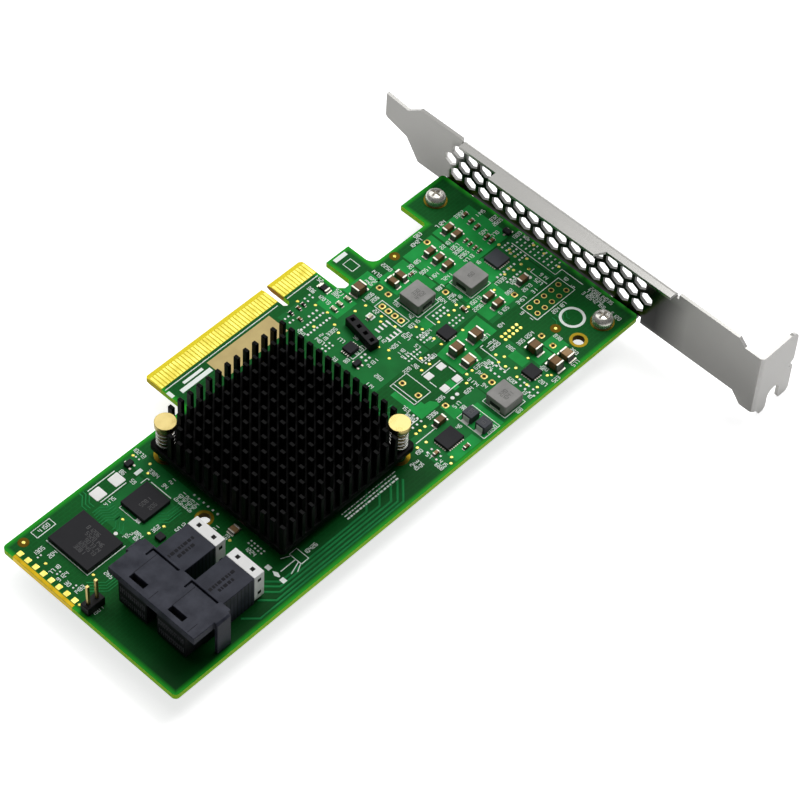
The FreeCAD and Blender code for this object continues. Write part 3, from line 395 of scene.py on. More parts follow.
GREY_EPOXY = moulded_finish("grey_epoxy", (0.042, 0.046, 0.056), (0.058, 0.063, 0.074), specular=0.2)
FERRITE = moulded_finish("coil_powder", (0.26, 0.256, 0.246), (0.34, 0.335, 0.322), grain=0.3, specular=0.1)
PAD = moulded_finish("gap_pad", (0.40, 0.40, 0.42), (0.46, 0.46, 0.48))
CERAMIC = moulded_finish("capacitor_ceramic", (0.160, 0.085, 0.030), (0.235, 0.130, 0.050), specular=0.2)
TAN_CERAMIC = moulded_finish("tan_ceramic", (0.36, 0.21, 0.09), (0.46, 0.29, 0.14), specular=0.2)
PALE_CERAMIC = moulded_finish("pale_ceramic", (0.60, 0.55, 0.36), (0.72, 0.67, 0.48), specular=0.2)
INK = moulded_finish("white_ink", (0.86, 0.95, 0.88), (0.95, 1.0, 0.96), (0.5, 0.7))
GREY_INK = moulded_finish("grey_ink", (0.11, 0.11, 0.112), (0.15, 0.15, 0.154), (0.5, 0.7), specular=0.13)
COIL_INK = moulded_finish("coil_ink", (0.12, 0.12, 0.115), (0.15, 0.15, 0.145), (0.5, 0.7), specular=0.1)
DARK_INK = moulded_finish("dark_ink", (0.01, 0.01, 0.013), (0.014, 0.014, 0.018), (0.5, 0.7), specular=0.1)
SOLDER_WHITE = moulded_finish("levelled_solder", (0.86, 0.86, 0.83), (0.95, 0.94, 0.92), (0.3, 0.45))
LAMINATE = moulded_finish("bare_laminate", (0.54, 0.41, 0.16), (0.63, 0.49, 0.20), specular=0.2)
# Painted shade: near black for the inside of holes and windows
HOLE_SHADE = moulded_finish("painted_hole_shade", (0.004, 0.004, 0.004), (0.008, 0.008, 0.007), specular=0.1)

NODE_FINISH = {
    "circuit_board": BOARD,
    "edge_contacts_top": CONTACT_GILT,
    "edge_contacts_bottom": CONTACT_GILT,
    "bracket": SHEET,
    "thermal_pad": PAD,
    "header_pins": PALE_GILT,
    "logic_chip_leads": TIN,
    "inductor_terminals": TERMINAL,
    "choke_terminals": SOLDER_WHITE,
}
# Solids that are shown with softened edges: edge width in millimetres, finish, slot and nodes
SOFTENED = (
    (0.22, BRASS, "pin_brass", ("push_pins",)),
    (0.14, SLATE, "port_plastic", ("connector_hood",)),
    (0.10, SOCKET, "port_plastic", ("port_socket_back", "port_socket_front")),
    (0.14, WAFER, "port_plastic", ("port_wafers_back", "port_wafers_front")),
    (0.12, WHITE_PLASTIC, "clip_plastic", ("port_clip_back", "port_clip_front")),
    (0.12, BLACK_PLASTIC, "header_plastic", ("header_base", "strip_header")),
    (0.08, EPOXY, "chip_epoxy", ("memory_chip", "flash_chip", "driver_chip", "clock_chip")),
    (0.08, EPOXY, "chip_epoxy", ("converter_chip_back", "converter_chip_front")),
    (0.08, GREY_EPOXY, "chip_epoxy", ("regulator_chip",)),
    (0.10, EPOXY, "chip_epoxy", ("logic_chip",)),
    (0.16, FERRITE, "coil_ferrite", ("inductor_back", "inductor_bracket", "inductor_front")),
    (0.15, GREY_EPOXY, "header_plastic", ("choke_bodies",)),
)
# Solids with turned sides, which stay smooth, while all flat faces of the others are shaded flat
TURNED_SOLIDS = ("push_pins",)
# Angles, in degrees, below which faces are one flat, and above which an edge is sharp or gets rounded
FLAT_ANGLE = 1
SHARP_ANGLE = 40
ROUNDED_ANGLE = 35
# How far a face has to face along an axis to count as square to it
SQUARE_SHARE = 0.999
MERGE_REACH = 0.001 * MM


def dress_nodes():
    """Give every solid of the frame its finish."""
    for name, solid in CARD.items():
        solid.data.materials.clear()
        solid.data.materials.append(NODE_FINISH.get(name, EPOXY))


def add_piece(name, mesh, finish, slot, *nodes):
    """Put a finished mesh on the card with its material, in place of the solids that it stands for. The
    slot is not used.
    """
    mesh.materials.clear()
    mesh.materials.append(finish)
    piece = scene_object(name, mesh)
    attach(piece, "root")
    if nodes:
        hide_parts(*nodes)


def mesh_from(name, shape, flat_axes=""):
    """A mesh from a bmesh, its faces turned outwards, smooth by angle, but flat if square to given axes."""
    bmesh.ops.recalc_face_normals(shape, faces=shape.faces)
    mesh = bpy.data.meshes.new(name)
    shape.to_mesh(mesh)
    shape.free()
    mesh.shade_smooth()
    mesh.set_sharp_from_angle(angle=math.radians(SHARP_ANGLE))
    for face in mesh.polygons:
        if any(abs(face.normal["xyz".index(axis)]) > SQUARE_SHARE for axis in flat_axes):
            face.use_smooth = False
    return mesh


def merged(node):
    """The solid of a node as a bmesh with its doubled points merged and its flat faces joined."""
    shape = bmesh.new()
    shape.from_mesh(CARD[node].data)
    bmesh.ops.remove_doubles(shape, verts=shape.verts, dist=MERGE_REACH / 2)
    bmesh.ops.dissolve_limit(shape, angle_limit=math.radians(FLAT_ANGLE), verts=shape.verts,
                             edges=shape.edges)
    return shape


def soften_nodes():
    """Copies of the boxy solids with narrow rounded edges, which catch the light as moulded edges do."""
    for width, finish, slot, nodes in SOFTENED:
        for node in nodes:
            shape = merged(node)
            sharp = [edge for edge in shape.edges if len(edge.link_faces) == 2
                     and edge.calc_face_angle() > math.radians(ROUNDED_ANGLE)]
            bmesh.ops.bevel(shape, geom=sharp, offset=width * MM, segments=2, profile=0.5, affect="EDGES",
                            clamp_overlap=True)
            flat_axes = "z" if node in TURNED_SOLIDS else "xyz"
            add_piece(node + "_shown", mesh_from(node + "_shown", shape, flat_axes), finish, slot, node)


def solids_of(node):
    """Centre and size of each separate solid of a node."""
    shape = merged(node)
    left = set(shape.verts)
    solids = []
    while left:
        group = [left.pop()]
        for point in group:
            for edge in point.link_edges:
                other = edge.other_vert(point)
                if other in left:
                    left.remove(other)
                    group.append(other)
        low = Vector(min(point.co[axis] for point in group) for axis in range(3))
        high = Vector(max(point.co[axis] for point in group) for axis in range(3))
        solids.append(((low + high) / 2, high - low))
    shape.free()
    return solids


class Rule:
    """A Geometry Nodes tree with named inputs, which ends in real geometry with its material."""

    def __init__(self, name, **inputs):
        self.group = bpy.data.node_groups.new(name, "GeometryNodeTree")
        sockets = self.group.interface
        sockets.new_socket("Geometry", in_out="INPUT", socket_type="NodeSocketGeometry")
        self.keys = {}
        for label, kind in {**inputs, "Finish": "Material"}.items():
            socket = sockets.new_socket(label, in_out="INPUT", socket_type="NodeSocket" + kind)
            self.keys[label] = socket.identifier
        sockets.new_socket("Geometry", in_out="OUTPUT", socket_type="NodeSocketGeometry")
        self.given = self.node("NodeGroupInput").outputs

    def node(self, kind, inputs=None, **properties):
        return add_node(self.group, kind, inputs, **properties)

    def maths(self, operation, first, second=0.0):
        return self.node("ShaderNodeMath", {0: first, 1: second}, operation=operation).outputs[0]

    def attribute(self, name, kind):
        node = self.node("GeometryNodeInputNamedAttribute", {"Name": name}, data_type=kind)
        return node.outputs["Attribute"]

    def strip(self, curve, section):
        """A closed section drawn along a curve."""
        return self.node("GeometryNodeCurveToMesh",
                         {"Curve": curve, "Profile Curve": section, "Fill Caps": True}).outputs[0]

    def given_shape(self):
        """The mesh of the object that is given as the input called Shape."""
        return self.node("GeometryNodeObjectInfo", {"Object": self.given["Shape"]}).outputs["Geometry"]

    def on_points(self, points, shape, **more):
        inputs = {"Points": points, "Instance": shape, **more}
        return self.node("GeometryNodeInstanceOnPoints", inputs).outputs["Instances"]

    def end(self, geometry):
        real = self.node("GeometryNodeRealizeInstances", {"Geometry": geometry}).outputs[0]
        dressed = self.node("GeometryNodeSetMaterial", {"Geometry": real, "Material": self.given["Finish"]})
        self.node("NodeGroupOutput", {"Geometry": dressed.outputs[0]})

    def mesh(self, name, start, **values):
        """The plain mesh that the tree makes from a starting mesh and a value for each input."""
        carrier = scene_object(name, start)
        modifier = carrier.modifiers.new("rule", "NODES")
        modifier.node_group = self.group
        for label, value in values.items():
            modifier[self.keys[label]] = value
        result = plain_mesh(carrier)
        result.name = name
        return result


def scatter_rule():
    """A shape set on points, each with its own turn and size."""
    rule = Rule("shape_on_points", Shape="Object", Scale="Float")
    scaled = {0: rule.attribute("size", "FLOAT_VECTOR"), "Scale": rule.given["Scale"]}
    size = rule.node("ShaderNodeVectorMath", scaled, operation="SCALE").outputs[0]
    spin = rule.node("ShaderNodeCombineXYZ", {"Z": rule.attribute("turn", "FLOAT")}).outputs[0]
    rule.end(rule.on_points(rule.given["Geometry"], rule.given_shape(), Rotation=spin, Scale=size))
    return rule


def stroke_rule():
    """A flat strip of a given width and height along every line."""
    rule = Rule("strip_on_lines", Width="Float", Height="Float")
    lines = rule.node("GeometryNodeMeshToCurve", {"Mesh": rule.given["Geometry"]}).outputs[0]
    lines = rule.node("GeometryNodeSetCurveNormal", {"Curve": lines}, mode="Z_UP").outputs[0]
    section = rule.node("GeometryNodeCurvePrimitiveQuadrilateral",
                        {"Width": rule.given["Width"], "Height": rule.given["Height"]}).outputs[0]
    rule.end(rule.strip(lines, section))
    return rule


def pin_field_rule():
    """A square field of pins, less the pins at two opposite corners."""
    rule = Rule("pin_field", Count="Int", Pitch="Float", Cleared="Int", Middle="Vector", Shape="Object")
    count = rule.given["Count"]
    pitch = rule.given["Pitch"]
    span = rule.maths("MULTIPLY", rule.maths("SUBTRACT", count, 1.0), pitch)
    grid = rule.node("GeometryNodeMeshGrid", {"Size X": span, "Size Y": span, "Vertices X": count,
                                              "Vertices Y": count}).outputs["Mesh"]
    place = rule.node("GeometryNodeInputPosition").outputs[0]
    x, y, _ = rule.node("ShaderNodeSeparateXYZ", {0: place}).outputs
    reach = rule.maths("MINIMUM", rule.maths("ABSOLUTE", x), rule.maths("ABSOLUTE", y))
    kept = rule.maths("SUBTRACT", rule.maths("DIVIDE", count, 2.0), rule.given["Cleared"])
    far = rule.maths("GREATER_THAN", reach, rule.maths("MULTIPLY", kept, pitch))
    opposite = rule.maths("LESS_THAN", rule.maths("MULTIPLY", x, y), 0.0)
    cleared = {"Geometry": grid, "Selection": rule.maths("MULTIPLY", far, opposite)}
    grid = rule.node("GeometryNodeDeleteGeometry", cleared, domain="POINT").outputs[0]
    placed = {"Geometry": grid, "Translation": rule.given["Middle"]}
    grid = rule.node("GeometryNodeTransform", placed).outputs[0]
    rule.end(rule.on_points(grid, rule.given_shape()))
    return rule


def spring_rule():
    """A coil of round wire on every point."""
    rule = Rule("coil_spring", Turns="Float", Radius="Float", Height="Float", Wire="Float", Steps="Int",
                Sides="Int")
    radius = rule.given["Radius"]
    coil = {"Resolution": rule.given["Steps"], "Rotations": rule.given["Turns"], "Start Radius": radius,
            "End Radius": radius, "Height": rule.given["Height"]}
    line = rule.node("GeometryNodeCurveSpiral", coil).outputs[0]
    wire = {"Resolution": rule.given["Sides"], "Radius": rule.given["Wire"]}
    section = rule.node("GeometryNodeCurvePrimitiveCircle", wire).outputs[0]
    rule.end(rule.on_points(rule.given["Geometry"], rule.strip(line, section)))
    return rule


SCATTER = scatter_rule()
STROKE = stroke_rule()
PIN_FIELD = pin_field_rule()
SPRING = spring_rule()
# Low and high corners of a box of side 1 that stands on the middle of its foot
UNIT_BOX = ((-0.5, -0.5, 0.0), (0.5, 0.5, 1.0))


def box_shape(name, boxes, edge=0.0):
    """Boxes given by their low and high corners as one mesh, with chamfered edges if asked for."""
    shape = bmesh.new()
    for low, high in boxes:
        low = Vector(low)
        high = Vector(high)
        frame_of_box = Matrix.Translation((low + high) / 2) @ Matrix.Diagonal((*(high - low), 1))
        bmesh.ops.create_cube(shape, size=1.0, matrix=frame_of_box)
    if edge:
        bmesh.ops.bevel(shape, geom=shape.edges[:], offset=edge, segments=1, affect="EDGES")
    return mesh_from(name, shape)


def round_outline(x, y, radius, steps):
    """Points round a circle."""
    return [(x + radius * math.cos(step * math.tau / steps), y + radius * math.sin(step * math.tau / steps))
            for step in range(steps)]


def ring_shape(name, inner, steps=20):
    """A flat ring of outer diameter 1 and height 1 on the plane it lies on."""
    shape = bmesh.new()
    loops = []
    for radius, level in ((inner / 2, 0.0), (0.5, 0.0), (0.5, 1.0), (inner / 2, 1.0)):
        loops.append([shape.verts.new((x, y, level)) for x, y in round_outline(0.0, 0.0, radius, steps)])
    for this, following in zip(loops, loops[1:] + loops[:1]):
        for step in range(steps):
            after = (step + 1) % steps
            shape.faces.new((this[step], this[after], following[after], following[step]))
    return mesh_from(name, shape)


def disc_shape(name, top=0.7, steps=12):
    """A low button of diameter 1 and height 1, a little narrower at its top."""
    shape = bmesh.new()
    bmesh.ops.create_cone(shape, cap_ends=True, segments=steps, radius1=0.5, radius2=0.5 * top, depth=1.0,
                          matrix=Matrix.Translation((0, 0, 0.5)))
    return mesh_from(name, shape)


def scatter(name, shape, items, finish, slot, *nodes):
    """Set a shape at places in millimetres. An item is x, y, z, length, width, height and turn."""
    start = bpy.data.meshes.new(name + "_places")
    start.from_pydata([(x * MM, y * MM, z * MM) for x, y, z, *_ in items], [], [])
    turns = start.attributes.new("turn", "FLOAT", "POINT")
    sizes = start.attributes.new("size", "FLOAT_VECTOR", "POINT")
    for number, (*_, length, width, height, turn) in enumerate(items):
        turns.data[number].value = math.radians(turn)
        sizes.data[number].vector = (length, width, height)
    pattern = scene_object(name + "_pattern", shape)
    mesh = SCATTER.mesh(name, start, Shape=pattern, Scale=MM, Finish=finish)
    bpy.data.objects.remove(pattern)
    add_piece(name, mesh, finish, slot, *nodes)


def strokes(name, lines, width, height, finish, slot, level=0.0):
    """Flat strips along lines of points in millimetres, lying on a level."""
    start = bpy.data.meshes.new(name + "_lines")
    points = []
    edges = []
    for line in lines:
        first = len(points)
        points += [(x * MM, y * MM, (level + height / 2) * MM) for x, y in line]
        edges += [(first + step, first + step + 1) for step in range(len(line) - 1)]
    start.from_pydata(points, edges, [])
    mesh = STROKE.mesh(name, start, Width=width * MM, Height=height * MM, Finish=finish)
    add_piece(name, mesh, finish, slot)


def plates(name, outlines, top, finish, slot):
    """Flat plates with the given outlines in millimetres, from the board up to a level."""
    shape = bmesh.new()
    for outline in outlines:
        face = shape.faces.new([shape.verts.new((x * MM, y * MM, 0.0)) for x, y in outline])
        raised = bmesh.ops.extrude_face_region(shape, geom=[face])
        lifted = [item for item in raised["geom"] if isinstance(item, bmesh.types.BMVert)]
        bmesh.ops.translate(shape, verts=lifted, vec=(0, 0, top * MM))
    add_piece(name, mesh_from(name, shape), finish, slot)


def area(left, right, front, back):
    """The outline of a rectangle."""
    return [(left, front), (right, front), (right, back), (left, back)]


# Heatsink: a base plate with a field of pins
SINK_MIDDLE = (-32.8, -38.8)
SINK_SIDE = 43.0
SINK_LOW = 2.7
SINK_FLOOR = 4.4
SINK_TOP = 12.3
SINK_CORNER = 1.2
PIN_PITCH = 2.96
PIN_COUNT = 15
PIN_CLEARED = 2
PIN_SIZE = (1.0, 1.5)
PIN_SUNK = 0.3
PIN_EDGE = 0.12
PUSH_PINS = ((-51.45, -20.15), (-14.15, -57.45))
PUSH_HOLE = 3.1
PUSH_HEAD_UNDER = 10.7
SPRING_TURNS = 4.5
SPRING_RADIUS = 2.0
SPRING_WIRE = 0.28
# Points round a turn of a coil, its wire, a hole, and a quarter of the base
COIL_STEPS = 28
WIRE_STEPS = 10
HOLE_STEPS = 24
CORNER_STEPS = 6


def square_outline(x, y, side, corner):
    """A square with rounded corners."""
    points = []
    reach = side / 2 - corner
    for quarter, (right, up) in enumerate(((1, 1), (-1, 1), (-1, -1), (1, -1))):
        for step in range(CORNER_STEPS + 1):
            angle = (quarter + step / CORNER_STEPS) * math.pi / 2
            points.append((x + right * reach + corner * math.cos(angle),
                           y + up * reach + corner * math.sin(angle)))
    return points


def pierced_plate(name, outlines, low, high, edge):
    """A plate between two levels with its first outline outside, the others as holes, and soft edges."""
    curve = bpy.data.curves.new(name, "CURVE")
    curve.dimensions = "2D"
    curve.fill_mode = "BOTH"
    curve.extrude = ((high - low) / 2 - edge) * MM
    curve.bevel_depth = edge * MM
    curve.bevel_resolution = 1
    curve.offset = -edge * MM
    for outline in outlines:
        spline = curve.splines.new("POLY")
        spline.points.add(len(outline) - 1)
        for point, (x, y) in zip(spline.points, outline):
            point.co = (x * MM, y * MM, 0, 1)
        spline.use_cyclic_u = True
    flat = plain_mesh(scene_object(name, curve))
    flat.transform(Matrix.Translation((0, 0, (low + high) / 2 * MM)))
    shape = bmesh.new()
    shape.from_mesh(flat)
    bmesh.ops.remove_doubles(shape, verts=shape.verts, dist=MERGE_REACH)
    return mesh_from(name, shape)


def make_heatsink():
    """Base plate with two push pin holes, and the pins on it."""
    holes = [round_outline(x, y, PUSH_HOLE / 2, HOLE_STEPS) for x, y in PUSH_PINS]
    outlines = [square_outline(*SINK_MIDDLE, SINK_SIDE, SINK_CORNER)] + holes
    base = pierced_plate("heatsink_base", outlines, SINK_LOW, SINK_FLOOR, PIN_EDGE)
    length, width = PIN_SIZE
    low = Vector((-length / 2, -width / 2, SINK_FLOOR - PIN_SUNK)) * MM
    high = Vector((length / 2, width / 2, SINK_TOP)) * MM
    pattern = scene_object("sink_pin_pattern", box_shape("sink_pin", [(low, high)], PIN_EDGE * MM))
    middle = (SINK_MIDDLE[0] * MM, SINK_MIDDLE[1] * MM, 0.0)
    pins = PIN_FIELD.mesh("sink_pins", bpy.data.meshes.new("sink_start"), Count=PIN_COUNT,
                          Pitch=PIN_PITCH * MM, Cleared=PIN_CLEARED, Middle=middle, Shape=pattern,
                          Finish=BLACK_SINK)
    bpy.data.objects.remove(pattern)
    add_piece("heatsink_base", base, BLACK_SINK, "black_anodised", "heatsink")
    add_piece("heatsink_pins", pins, BLACK_SINK, "black_anodised")


def make_springs():
    """A coil round each push pin, between the heatsink and the pin's head."""
    start = bpy.data.meshes.new("spring_places")
    start.from_pydata([(x * MM, y * MM, (SINK_FLOOR + SPRING_WIRE) * MM) for x, y in PUSH_PINS], [], [])
    height = PUSH_HEAD_UNDER - SINK_FLOOR - 2 * SPRING_WIRE
    coils = SPRING.mesh("push_pin_coils", start, Turns=SPRING_TURNS, Radius=SPRING_RADIUS * MM,
                        Height=height * MM, Wire=SPRING_WIRE * MM, Steps=COIL_STEPS, Sides=WIRE_STEPS,
                        Finish=STEEL)
    coils.shade_smooth()
    add_piece("push_pin_coils", coils, STEEL, "spring_wire", "pin_springs")


# Bracket screws: domed heads with a cross recess
SCREWS = ((49.6, -9.5), (49.6, -63.9))
SCREW_HEAD = 5.2
SCREW_HEIGHT = 2.7
SCREW_SIDE = 0.7
DOME_POWER = 0.8
DOME_ANGLES = (10, 20, 32, 45, 58, 70, 80)
SCREW_SHANK = 2.9
SHANK_CHAMFER = 0.3
SCREW_STEPS = 32
CROSS_LENGTH = 2.9
CROSS_WIDTH = 0.62
CROSS_DEPTH = 1.2
# The second slot of the cross is a touch narrower, so that no faces of the two cuts coincide
SECOND_SLOT = 0.99 * CROSS_WIDTH


def screw_profile():
    """Radius and level of each point of a screw, from the top of its head to the end of its shank."""
    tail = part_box("bracket_screws")[0].z / MM
    half = SCREW_HEAD / 2
    shank = SCREW_SHANK / 2
    profile = [(0.0, SCREW_HEIGHT)]
    for degrees in DOME_ANGLES:
        angle = math.radians(degrees)
        level = SCREW_SIDE + (SCREW_HEIGHT - SCREW_SIDE) * math.cos(angle) ** DOME_POWER
        profile.append((half * math.sin(angle) ** DOME_POWER, level))
    profile += [(half, SCREW_SIDE), (half, 0.0), (shank, 0.0), (shank, tail + SHANK_CHAMFER)]
    profile += [(shank - SHANK_CHAMFER, tail), (0.0, tail)]
    return profile


def make_screws():
    """Turn each screw from its profile and cut a cross into its head."""
    blank = bmesh.new()
    for x, y in SCREWS:
        points = [blank.verts.new(((x + radius) * MM, y * MM, level * MM))
                  for radius, level in screw_profile()]
        lines = [blank.edges.new(ends) for ends in zip(points, points[1:])]
        bmesh.ops.spin(blank, geom=points + lines, cent=(x * MM, y * MM, 0), axis=(0, 0, 1), angle=math.tau,
                       steps=SCREW_STEPS, use_merge=True)
    bmesh.ops.remove_doubles(blank, verts=blank.verts, dist=MERGE_REACH)
    body = scene_object("screw_blank", mesh_from("screw_blank", blank))
    cutters = []
    for x, y in SCREWS:
        for length, width in ((CROSS_LENGTH, CROSS_WIDTH), (SECOND_SLOT, CROSS_LENGTH)):
            low = Vector((x - length / 2, y - width / 2, SCREW_HEIGHT - CROSS_DEPTH)) * MM
            high = Vector((x + length / 2, y + width / 2, SCREW_HEIGHT + CROSS_DEPTH)) * MM
            cutters.append(scene_object("cross_cutter", box_shape("cross_cutter", [(low, high)])))
    for cutter in cutters:
        cut = body.modifiers.new("cross", "BOOLEAN")
        cut.operation = "DIFFERENCE"
        cut.solver = "EXACT"
        cut.object = cutter
    mesh = plain_mesh(body)
    for cutter in cutters:
        bpy.data.objects.remove(cutter)
    mesh.shade_smooth()
    mesh.set_sharp_from_angle(angle=math.radians(ROUNDED_ANGLE))
    add_piece("domed_screws", mesh, SCREW, "screw_steel", "bracket_screws")


# Chip parts that are too small for the solids: x, y and turn, by kind
BROWN_PARTS = ((51.0, -18.0, 0), (50.5, -20.5, 0), (50.3, -22.7, 0), (49.6, -26.6, 0), (49.5, -28.3, 0),
               (-1.1, -66.8, 0))
SMALL_BROWN_PARTS = ((45.1, -23.8, 0), (45.0, -25.3, 0), (45.0, -26.9, 0), (45.0, -28.4, 0),
                     (27.8, -22.0, 0), (-1.2, -13.2, 90), (1.0, -10.6, 90))
PALE_PARTS = ((11.3, -16.8, 90), (8.8, -16.6, 90), (6.7, -16.7, 90), (11.0, -24.4, 0))
TAN_PARTS = ((-7.5, -63.2, 0), (28.8, -38.3, 90))
SMALL_RESISTORS = ((2.6, -10.6, 90), (-1.4, -10.4, 90))
RESISTORS = ((9.8, -10.4, 90),)
LARGE_TAN_PARTS = ((-55.4, -46.2, 0),)
SMALL_TRANSISTORS = ((54.2, -29.0, 90), (-1.5, -32.2, 0), (-59.5, -16.3, 0))
# Length, width and height by kind
COMMON_SIZE = (1.6, 0.8, 0.8)
SMALL_SIZE = (1.2, 0.6, 0.55)
RESISTOR_SIZE = (2.6, 1.7, 0.55)
LARGE_SIZE = (2.2, 2.0, 0.7)
TRANSISTOR_SIZE = (2.1, 1.4, 0.95)
# Share of a chip part's length that its body, end caps, solder and pads reach to on each side of its middle
BODY_REACH = 0.31
END_REACH = 0.5
SOLDER_REACH = 0.58
PAD_REACH = 0.70
# Shares of a chip part's width and height: the body's half width, the pads' level, and the slope of solder
BODY_HALF = 0.48
PAD_LEVEL = 0.045
SOLDER_HALF = 0.46
SOLDER_SUNK = 0.02
SOLDER_TOE = 0.05
SOLDER_TOP = 0.3
CHIP_EDGE = 0.04
PACKAGE_EDGE = 0.06
FOOT_EDGE = 0.03
LEAD_EDGE = 0.06
# Feet of a small transistor, as low and high corners in shares of its size
FOOT_BOXES = (
    ((-0.45, -0.95, 0.0), (-0.2, -0.45, 0.16)),
    ((0.2, -0.95, 0.0), (0.45, -0.45, 0.16)),
    ((-0.14, 0.45, 0.0), (0.14, 0.95, 0.16)),
)
# Chips with a row of flat leads along each side, and the leads: pitch, clear end of a row, and size
LEADED_CHIPS = ("regulator_chip", "converter_chip_back", "converter_chip_front", "driver_chip")
LEAD_PITCH = 0.62
LEAD_MARGIN = 0.5
LEAD_SIZE = (0.36, 0.38, 0.12)


def chip_end_shape(name):
    """Two end caps, each with a slope of solder outside it on a level pad."""
    shape = bmesh.new()
    shape.from_mesh(box_shape(name, [((-END_REACH, -0.5, 0.0), (-BODY_REACH, 0.5, 1.0)),
                                     ((BODY_REACH, -0.5, 0.0), (END_REACH, 0.5, 1.0))], CHIP_EDGE))
    shape.from_mesh(box_shape(name, [((-PAD_REACH, -0.5, 0.0), (-END_REACH, 0.5, PAD_LEVEL)),
                                     ((END_REACH, -0.5, 0.0), (PAD_REACH, 0.5, PAD_LEVEL))]))
    inner = END_REACH - SOLDER_SUNK
    outline = ((inner, 0.0), (SOLDER_REACH, 0.0), (SOLDER_REACH, SOLDER_TOE), (inner, SOLDER_TOP))
    for side in (-1, 1):
        slope = [shape.verts.new((side * along, across, level))
                 for across in (-SOLDER_HALF, SOLDER_HALF) for along, level in outline]
        for corner in range(4):
            after = (corner + 1) % 4
            shape.faces.new((slope[corner], slope[after], slope[after + 4], slope[corner + 4]))
        shape.faces.new(slope[:4])
        shape.faces.new(slope[4:])
    return mesh_from(name, shape)


def chip_items(places, size):
    """Items for a scatter from x, y and turn, all of one size."""
    return [(x, y, 0.0, *size, turn) for x, y, turn in places]


def node_items(*nodes):
    """Chip parts where the solids of some nodes are."""
    items = []
    for node in nodes:
        for centre, size in solids_of(node):
            x, y, _ = centre / MM
            length, width, height = size / MM
            if width > length:
                items.append((x, y, 0.0, width, length, height, 90))
            else:
                items.append((x, y, 0.0, length, width, height, 0))
    return items


def lead_items():
    """Flat leads along the four sides of the leaded chips."""
    items = []
    for node in LEADED_CHIPS:
        low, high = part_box(node)
        middle = (low + high) / 2 / MM
        size = (high - low) / MM
        for turn, across, along in ((0, size.x, size.y), (90, size.y, size.x)):
            count = int((along - LEAD_MARGIN) / LEAD_PITCH)
            reach = (across + LEAD_SIZE[0]) / 2
            for number in range(count):
                shift = LEAD_PITCH * (number - (count - 1) / 2)
                for out in (-reach, reach):
                    x, y = (out, shift) if turn == 0 else (shift, out)
                    items.append((middle.x + x, middle.y + y, 0.0, *LEAD_SIZE, turn))
    return items


def make_chip_parts():
    """Ceramic capacitors, resistors and small transistors, with their end caps and solder."""
    core = ((-BODY_REACH, -BODY_HALF, 0.01), (BODY_REACH, BODY_HALF, 0.98))
    body = box_shape("chip_body", [core], CHIP_EDGE)
    ends = chip_end_shape("chip_ends")
    brown = node_items("bulk_capacitors", "chip_capacitors")
    brown += chip_items(BROWN_PARTS, COMMON_SIZE) + chip_items(SMALL_BROWN_PARTS, SMALL_SIZE)
    tan = node_items("flat_capacitors") + chip_items(TAN_PARTS, COMMON_SIZE)
    tan += chip_items(LARGE_TAN_PARTS, LARGE_SIZE)
    pale = chip_items(PALE_PARTS, COMMON_SIZE)
    black = chip_items(RESISTORS, RESISTOR_SIZE) + chip_items(SMALL_RESISTORS, SMALL_SIZE)
    scatter("capacitor_cores", body, brown, CERAMIC, "capacitor_ceramic", "bulk_capacitors",
            "chip_capacitors")
    scatter("tan_capacitor_cores", body, tan, TAN_CERAMIC, "capacitor_ceramic", "flat_capacitors")
    scatter("pale_chip_cores", body, pale, PALE_CERAMIC, "capacitor_ceramic")
    scatter("resistor_cores", body, black, BLACK_PLASTIC, "chip_epoxy")
    scatter("chip_part_ends", ends, brown + tan + pale + black, TIN, "tinned_terminal")
    package = box_shape("transistor_package", [((-0.5, -0.5, 0.08), (0.5, 0.5, 1.0))], PACKAGE_EDGE)
    feet = box_shape("transistor_feet", FOOT_BOXES, FOOT_EDGE)
    lead = box_shape("flat_lead", [UNIT_BOX], LEAD_EDGE)
    places = chip_items(SMALL_TRANSISTORS, TRANSISTOR_SIZE)
    scatter("transistor_bodies", package, places, EPOXY, "chip_epoxy")
    scatter("transistor_feet", feet, places, TIN, "tinned_terminal")
    scatter("flat_leads", lead, lead_items(), TIN, "tinned_terminal")


# Plated holes, vias and pads: x and y
VIAS = (
    (13, -21), (10, -20.5), (5, -16.2), (3.5, -20), (2.4, -22.4), (13.3, -26), (12, -27), (13.3, -30.4),
    (6, -32), (7, -34.4), (5.3, -36.2), (28.6, -36), (27, -36.8), (25, -36.9), (21.7, -36.7), (16.8, -34),
    (17.3, -35.5), (17.2, -39.4), (17.2, -41.8), (10.6, -41.4), (10.8, -44), (8.1, -44), (24, -42.4),
    (14.8, -52.2), (16.5, -52.3), (12.8, -54), (24, -53), (25, -54.8), (22.8, -55), (23, -57), (24.4, -59),
    (22.6, -61), (28.7, -59), (28, -65.7), (22.5, -64.2), (23.7, -66.4), (55.9, -36.2), (55.7, -39.8),
    (55.1, -45.1), (50, -30.2), (50.7, -33), (50, -34), (50, -35.5), (51.5, -38), (49.2, -38.2), (46, -37),
    (46.5, -38.2), (49.4, -40.5), (44, -37.6), (-5.6, -66.4), (-7, -67.5), (-3.5, -56), (-5.2, -56),
    (-6.5, -56), (-6.6, -59.3), (-9.2, -59), (-91.4, -23.4), (-86, -33), (-93.6, -36.8), (-71, -26.5),
    (-69.5, -33.4), (-65.8, -34.4), (-58.1, -21.1), (-55.9, -19.5), (-57, -15), (-58, -47.5), (28.8, -66.3),
    (38.5, -39.2), (30.2, -38.4), (-0.4, -17), (4.6, -12.6), (2.4, -8.8),
)
SQUARE_PADS = (
    (2.1, -43.5), (2.1, -48.6), (19.4, -19.5), (19.4, -22.4), (29.7, -31.5), (38.1, -17.5), (40.9, -43.6),
    (36.0, -56.7), (35.7, -60.6), (17.2, -55.5), (17.2, -58.0), (4.4, -55.1),
)
